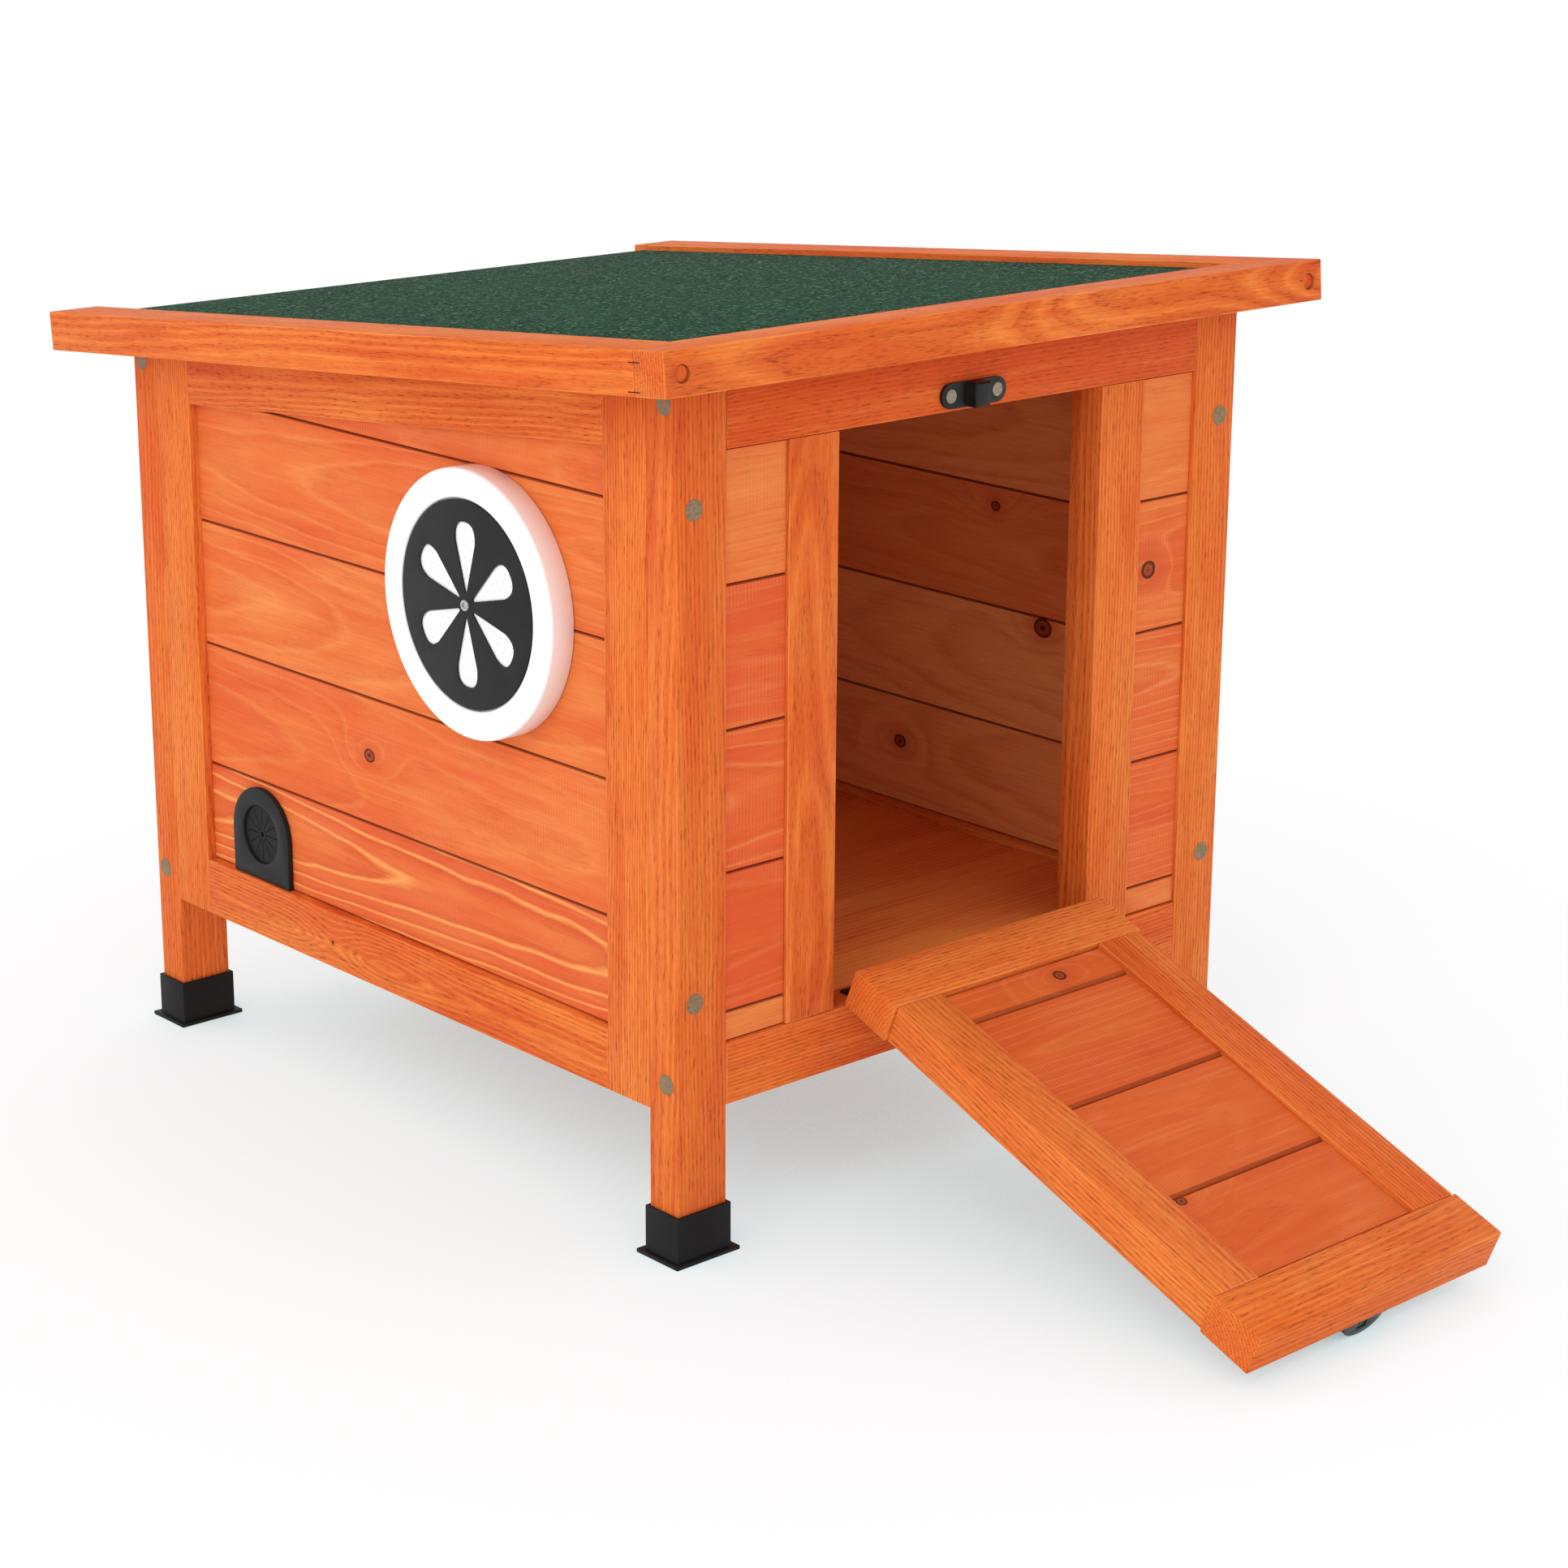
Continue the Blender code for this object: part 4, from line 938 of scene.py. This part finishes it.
def build_ramp_boards():
    turn = Matrix((ACROSS, DOWN_RAMP, OFF_RAMP)).transposed().to_4x4()
    place = Matrix.Translation(RAMP_PIN) @ turn
    for number in range(1, RAMP_BOARDS + 1):
        node = f"ramp_board_{number}"
        low, high = local_box(node, place)
        first, last = number == 1, number == RAMP_BOARDS
        shape = plank((low.x, high.x), low.y, high.y, high.z - low.z, RAMP_CHAMFER, first, last)
        shape.transform(place @ Matrix.Translation((0, 0, low.z)))
        board = finish_shape(shape, f"{node}_shown")
        lay_grain(board, "ramp_cross", RAMP_KNOTS.get(number), RAMP_MOODS[number], RAMP_SEAM_STAIN_AND_SHADE)
        dress(board, "ramp", "ramp_board", [node])


# Fasteners

def build_disc(name, place, radius, proud, body, material="bolt_face", slot_width=0.0):
    """A low round head: eased rim, faint dish and, where asked, a cross recess."""
    rim = min(0.0003, proud * 0.6)
    profile = (
        (0.0, -0.0010), (radius, -0.0010), (radius, proud - rim),
        (radius - 0.4 * rim, proud - 0.4 * rim), (radius - rim, proud),
        (radius * 0.6, proud - 0.00006), (0.0, proud - 0.00008),
    )
    made = finish_shape(turned(profile, place, 32), name)
    if slot_width:
        reach = radius * 0.55
        half = slot_width / 2
        arm = ((reach, -half), (reach, half), (half, half))
        cross = []
        for across, up in ((1, 0), (0, 1), (-1, 0), (0, -1)):
            cross += [(x * across - y * up, x * up + y * across) for x, y in arm]
        turn = place @ Matrix.Rotation(math.radians(20), 4, "Z")
        cut(made, extruded(cross, turn, proud - 0.0006, proud + 0.002))
    dress(made, body, material)
    return made


def build_bolts():
    """Flush barrel-nut faces where the frame's battens are bolted to the posts."""
    inset, back_drop = 0.0102, 0.030
    upper, lower = 0.3536, 0.126
    side_drop, side_lower = 0.0105, 0.087
    side_inset = {"front": 0.0080, "back": 0.0075}
    for side_name, side in (("left", -1), ("right", 1)):
        for end, out in (("front", -1), ("back", 1)):
            low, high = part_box(f"post_{end}_{side_name}")
            face_y = low.y if out < 0 else high.y
            face_x = low.x if side < 0 else high.x
            x = face_x - side * inset
            drop = 0.0 if out < 0 else back_drop
            for level, z in (("upper", upper - drop), ("lower", lower)):
                place = axes_at((x, face_y, z), (0, out, 0))
                build_disc(f"bolt_{end}_{side_name}_{level}", place, BOLT_RADIUS, BOLT_PROUD, "hutch")
            y = face_y - out * side_inset[end]
            for level, z in (("upper", high.z - side_drop), ("lower", side_lower)):
                place = axes_at((face_x, y, z), (side, 0, 0))
                build_disc(f"bolt_{side_name}_{end}_{level}", place, BOLT_RADIUS, BOLT_PROUD, "hutch")


def build_plate_screws():
    """Screws of the keeper and of the latch's base plate."""
    low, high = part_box("door_keeper")
    centre_x, centre_z = (low.x + high.x) / 2, (low.z + high.z) / 2
    face = high.y - 0.0015
    for side, name in ((-1, "left"), (1, "right")):
        place = axes_at((centre_x + side * 0.0150, face, centre_z), -BACKWARD)
        build_disc(f"keeper_screw_{name}", place, SCREW_RADIUS, 0.0003, "hutch", "screw_face")

    points = [v.co - RAMP_PIN for v in frame["nodes"]["latch_base"].data.vertices]
    middle = (min(DOWN_RAMP.dot(p) for p in points) + max(DOWN_RAMP.dot(p) for p in points)) / 2
    back = max(OFF_RAMP.dot(p) for p in points)
    centre = RAMP_PIN + DOWN_RAMP * middle + OFF_RAMP * (back - 0.0015)
    for side, name in ((-1, "left"), (1, "right")):
        at = centre + ACROSS * (centre_x + side * 0.0165)
        place = axes_at(at, -OFF_RAMP, ACROSS)
        build_disc(f"latch_screw_{name}", place, 0.0026, 0.0003, "ramp")


def build_hinge_screws():
    """Two countersunk heads in each hinge leaf."""
    leaves = []
    for name in ("left", "right"):
        leaves.append((f"sill_hinge_leaf_{name}", UPWARD, "hutch"))
        leaves.append((f"ramp_hinge_leaf_{name}", -DOWN_RAMP, "ramp"))
        leaves.append((f"wall_hinge_leaf_{name}", BACKWARD, "hutch"))
        leaves.append((f"roof_hinge_leaf_{name}", -OFF_ROOF, "roof"))
    for node, outward, body in leaves:
        points = [v.co for v in frame["nodes"][node].data.vertices]
        run = ACROSS.cross(outward)
        far_end = max(points, key=lambda p: abs(run.dot(p - hinge_pin(node))))
        reach = run.dot(far_end - hinge_pin(node))
        plate = [p for p in points if abs(run.dot(p - hinge_pin(node)) - reach) < 1e-4]
        surface = max(outward.dot(p) for p in plate)
        centre_x = (min(p.x for p in points) + max(p.x for p in points)) / 2
        for index, side in enumerate((-1, 1)):
            at = hinge_pin(node) + run * (reach * 0.62)
            at += outward * (surface - outward.dot(at))
            at.x = centre_x + side * 0.0085
            place = axes_at(at, outward, ACROSS)
            build_disc(f"{node}_screw_{index + 1}", place, 0.0025, 0.0002, body, slot_width=0.0008)


def hinge_pin(node):
    joint = "roof_hinge" if node.startswith(("wall", "roof")) else "ramp_hinge"
    return Vector(JOINTS[joint]["pos_m"])


def build_staples():
    """Crowns of the staples across the roof's corner joints."""
    low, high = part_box("roof_batten_front")
    half_length, half_width, proud = 0.0038, 0.00022, 0.0002
    behind = 0.0208
    for side, x, name in ((-1, low.x, "left"), (1, high.x, "right")):
        for level, drop in (("upper", 0.0052), ("lower", 0.0178)):
            z = high.z - drop - behind * math.tan(ROOF_SLOPE)
            place = axes_at((x, low.y + behind, z), (side, 0, 0), DOWN_ROOF)
            corners = ((-1, -1), (1, -1), (1, 1), (-1, 1))
            outline = [(half_length * along, half_width * across) for along, across in corners]
            shape = extruded(outline, place, -0.0008, proud)
            round_edges(shape, 0.00008, 2)
            dress(finish_shape(shape, f"corner_staple_{name}_{level}"), "roof", "black_metal")


# Vent, cable port, latch and feet

def petal_outline():
    """A drop with a blunt round end."""
    centre, length, half = 0.0315, 0.0080, 0.0078
    points = []
    steps = 20
    for i in range(steps + 1):
        angle = math.radians(-100 + 200 * i / steps)
        c, s = math.cos(angle), math.sin(angle)
        points.append((
            centre + length * math.copysign(abs(c) ** 0.8, c),
            half * math.copysign(abs(s) ** 0.8, s),
        ))
    return [(0.0058, -0.0006), *points, (0.0058, 0.0006)]


SHUTTER_THICKNESS = 0.0009
DIMPLE_ROWS = (1, 1, 2, 2, 3, 3)
DIMPLE_FIRST_ROW, DIMPLE_ROW_PITCH, DIMPLE_PITCH, DIMPLE_RADIUS = 0.0125, 0.0046, 0.0038, 0.0012


def build_grille(face, centre):
    """White disc behind the shutter, with rows of holes under its six openings."""
    low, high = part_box("vent_grille")
    radius, edge = (high.z - low.z) / 2, 0.0003
    bore = 0.0016
    depth = high.x - face
    place = axes_at((face, centre.y, centre.z), -ACROSS)
    profile = [(bore, -depth), (radius, -depth), (radius, -edge), (radius - edge, 0.0), (bore, 0.0)]
    shape = turned([*profile, profile[0]], place, 96)
    bmesh.ops.remove_doubles(shape, verts=shape.verts, dist=1e-7)
    grille = finish_shape(shape, "vent_grille_shown")
    holes = bmesh.new()
    for petal in range(6):
        spin = place @ Matrix.Rotation(math.tau * petal / 6, 4, "Z")
        for row, count in enumerate(DIMPLE_ROWS):
            for index in range(count):
                side = (index - (count - 1) / 2) * DIMPLE_PITCH
                at = spin @ Matrix.Translation((DIMPLE_FIRST_ROW + row * DIMPLE_ROW_PITCH, side, 0))
                dimple = turned((
                    (0, -depth - 0.001), (0.0005, -depth - 0.001), (0.0005, -0.0007),
                    (DIMPLE_RADIUS, -0.0002), (DIMPLE_RADIUS, 0.001), (0, 0.001),
                ), at, 12)
                scratch = bpy.data.meshes.new("dimple")
                dimple.to_mesh(scratch)
                dimple.free()
                holes.from_mesh(scratch)
                bpy.data.meshes.remove(scratch)
    cut(grille, holes)
    dress(grille, "hutch", "white_plastic", ["vent_grille"])


def build_vent():
    low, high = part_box("vent_shutter")
    centre = (low + high) / 2
    front, back = low.x, high.x
    place = axes_at((front, centre.y, centre.z), -ACROSS)
    thickness = SHUTTER_THICKNESS
    radius = (high.z - low.z) / 2
    edge = 0.0004
    rim = [(0.0016, -thickness), (radius, -thickness), (radius, -edge), (radius - edge * 0.3, -edge * 0.3),
           (radius - edge, 0.0), (0.0016, 0.0), (0.0016, -thickness)]
    shutter = finish_shape(turned(rim, place, 128), "vent_shutter_shown")
    weld = bmesh.new()
    weld.from_mesh(shutter.data)
    bmesh.ops.remove_doubles(weld, verts=weld.verts, dist=1e-7)
    weld.to_mesh(shutter.data)
    weld.free()
    for petal in range(6):
        spin = place @ Matrix.Rotation(math.tau * petal / 6, 4, "Z")
        cut(shutter, extruded(petal_outline(), spin, -thickness - 0.001, 0.001))
    bevel = shutter.modifiers.new("eased", "BEVEL")
    bevel.width = 0.00025
    bevel.segments = 2
    bevel.limit_method = "ANGLE"
    bevel.angle_limit = math.radians(50)
    dress(shutter, "shutter", "black_plastic", ["vent_shutter"])

    # The housing: a broad white ring, well rounded at its rim, with a seat for the shutter
    low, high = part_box("vent_housing")
    outer = (high.z - low.z) / 2
    place = axes_at((low.x, centre.y, centre.z), -ACROSS)
    depth = high.x - low.x
    seat = low.x - back
    skirt = low.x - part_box("left_boards")[0].x + 0.0003
    bore, spigot = 0.0425, 0.0445
    lip = radius + 0.0006
    fillet = 0.0018
    corner = [
        (outer - fillet + fillet * math.sin(math.radians(a)), -fillet + fillet * math.cos(math.radians(a)))
        for a in range(90, -1, -10)
    ]
    profile = [(bore, -depth), (spigot, -depth), (spigot, skirt)]
    profile += [(outer - 0.0003, skirt), (outer, skirt + 0.0003)]
    profile += [*corner, (lip + 0.0012, 0.0), (lip + 0.0004, -0.0003), (lip, -0.0011), (lip, seat - 0.0003)]
    profile += [(bore, seat - 0.0003), (bore, -depth)]
    shape = turned(profile, place, 128)
    bmesh.ops.remove_doubles(shape, verts=shape.verts, dist=1e-7)
    dress(finish_shape(shape, "vent_housing_shown", 50.0), "hutch", "white_plastic", ["vent_housing"])
    build_grille(front + thickness + 0.0002, centre)

    screw_low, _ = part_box("vent_screw")
    head = axes_at((screw_low.x + 0.0008, centre.y, centre.z), -ACROSS)
    made = build_disc("vent_screw_shown", head, 0.0027, 0.0008, "hutch", "bare_steel", 0.0009)
    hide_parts("vent_screw")


def soften_keeper(shape):
    """Rounds the outer end of the keeper's block."""
    face = min(v.co.y for v in shape.verts)
    ends = [e for e in shape.edges if all(v.co.y < face + 1e-5 for v in e.verts)]
    edges = [e for e in ends if e.calc_face_angle(0) > 1.0]
    bmesh.ops.bevel(
        shape, geom=edges, offset=0.0014, offset_type="OFFSET", segments=3, profile=0.5,
        affect="EDGES", clamp_overlap=True,
    )


def build_fittings():
    eased = {
        "cable_port_plate": (0.0004, 2), "door_keeper": (0.0004, 2), "latch_base": (0.0004, 2),
        "latch_bolt": (0.0005, 2), "cable_port_diaphragm": (0.0, 1),
    }
    for node, (width, segments) in eased.items():
        shape = copy_of(node)
        if node == "door_keeper":
            soften_keeper(shape)
        if width:
            round_edges(shape, width, segments, 50.0)
        dress(finish_shape(shape, f"{node}_shown"), BODY_OF[node], SLOT_OF[node], [node])
    for node in sorted(SLOT_OF):
        if node.startswith("foot_cap"):
            dress(adopt(node, 0.0004, 2), "hutch", "cap_plastic", [node])
        if "hinge_leaf" in node:
            dress(adopt(node, 0.00018, 1, 60.0), BODY_OF[node], "black_metal", [node])
    dress(adopt("roof_felt", 0.0003, 2), "roof", "roof_felt", ["roof_felt"])


# Studio

# Strength of the sky at the horizon and overhead
SKY_LOW, SKY_HIGH = 1.15, 0.84
# Name, position, target, size and power
LAMPS = (
    ("key", (-2.2, -1.0, 2.4), (0, 0, 0.2), 1.6, 14.0),
    ("left_fill", (-2.8, 0.3, 0.9), (0, 0.0, 0.2), 1.6, 6.0),
)
CAMERA_AT = (-1.11920, -1.20984, 0.66962)
CAMERA_HEADING, CAMERA_PITCH, CAMERA_ROLL = -42.102, 16.786, 0.354
CAMERA_LENS = 78.834


def build_studio():
    shape = bmesh.new()
    bmesh.ops.create_grid(shape, x_segments=1, y_segments=1, size=30.0)
    ground = finish_shape(shape, "studio_floor")
    ground.data.materials.append(floor_finish())

    world = bpy.data.worlds.new("studio")
    bpy.context.scene.world = world
    world.use_nodes = True
    tree = world.node_tree
    direction = tree.nodes.new("ShaderNodeTexCoord").outputs["Generated"]
    split = tree.nodes.new("ShaderNodeSeparateXYZ")
    fade = tree.nodes.new("ShaderNodeMapRange")
    fade.inputs["From Min"].default_value = 0.0
    fade.inputs["From Max"].default_value = 1.0
    fade.inputs["To Min"].default_value = SKY_LOW
    fade.inputs["To Max"].default_value = SKY_HIGH
    tree.links.new(direction, split.inputs[0])
    tree.links.new(split.outputs["Z"], fade.inputs["Value"])
    background = tree.nodes["Background"]
    background.inputs["Color"].default_value = (1.0, 1.0, 1.0, 1.0)
    tree.links.new(fade.outputs[0], background.inputs["Strength"])

    for name, position, target, size, power in LAMPS:
        light = bpy.data.lights.new(name, "AREA")
        light.shape = "DISK"
        light.size = size
        light.energy = power
        lamp = bpy.data.objects.new(name, light)
        bpy.context.scene.collection.objects.link(lamp)
        lamp.location = position
        lamp.rotation_euler = (Vector(target) - Vector(position)).to_track_quat("-Z", "Y").to_euler()


def build_camera():
    heading, pitch, roll = (math.radians(a) for a in (CAMERA_HEADING, CAMERA_PITCH, CAMERA_ROLL))
    level = Vector((math.cos(heading), math.sin(heading), 0))
    ahead = Vector((-math.sin(heading), math.cos(heading), 0))
    forward = ahead * math.cos(pitch) - UPWARD * math.sin(pitch)
    upright = level.cross(forward)
    right = level * math.cos(roll) + upright * math.sin(roll)
    up = upright * math.cos(roll) - level * math.sin(roll)
    camera = bpy.data.objects.new("camera", bpy.data.cameras.new("camera"))
    bpy.context.scene.collection.objects.link(camera)
    camera.data.sensor_width = 36.0
    camera.data.lens = CAMERA_LENS
    camera.data.clip_end = 100.0
    place = Matrix((right, up, -forward)).transposed().to_4x4()
    place.translation = CAMERA_AT
    camera.matrix_world = place
    bpy.context.scene.camera = camera


build_battens()
build_plugs()
build_walls()
build_deck()
build_ramp_boards()
build_bolts()
build_plate_screws()
build_hinge_screws()
build_staples()
build_vent()
build_fittings()
build_studio()
build_camera()
bpy.context.scene.view_settings.view_transform = "Standard"
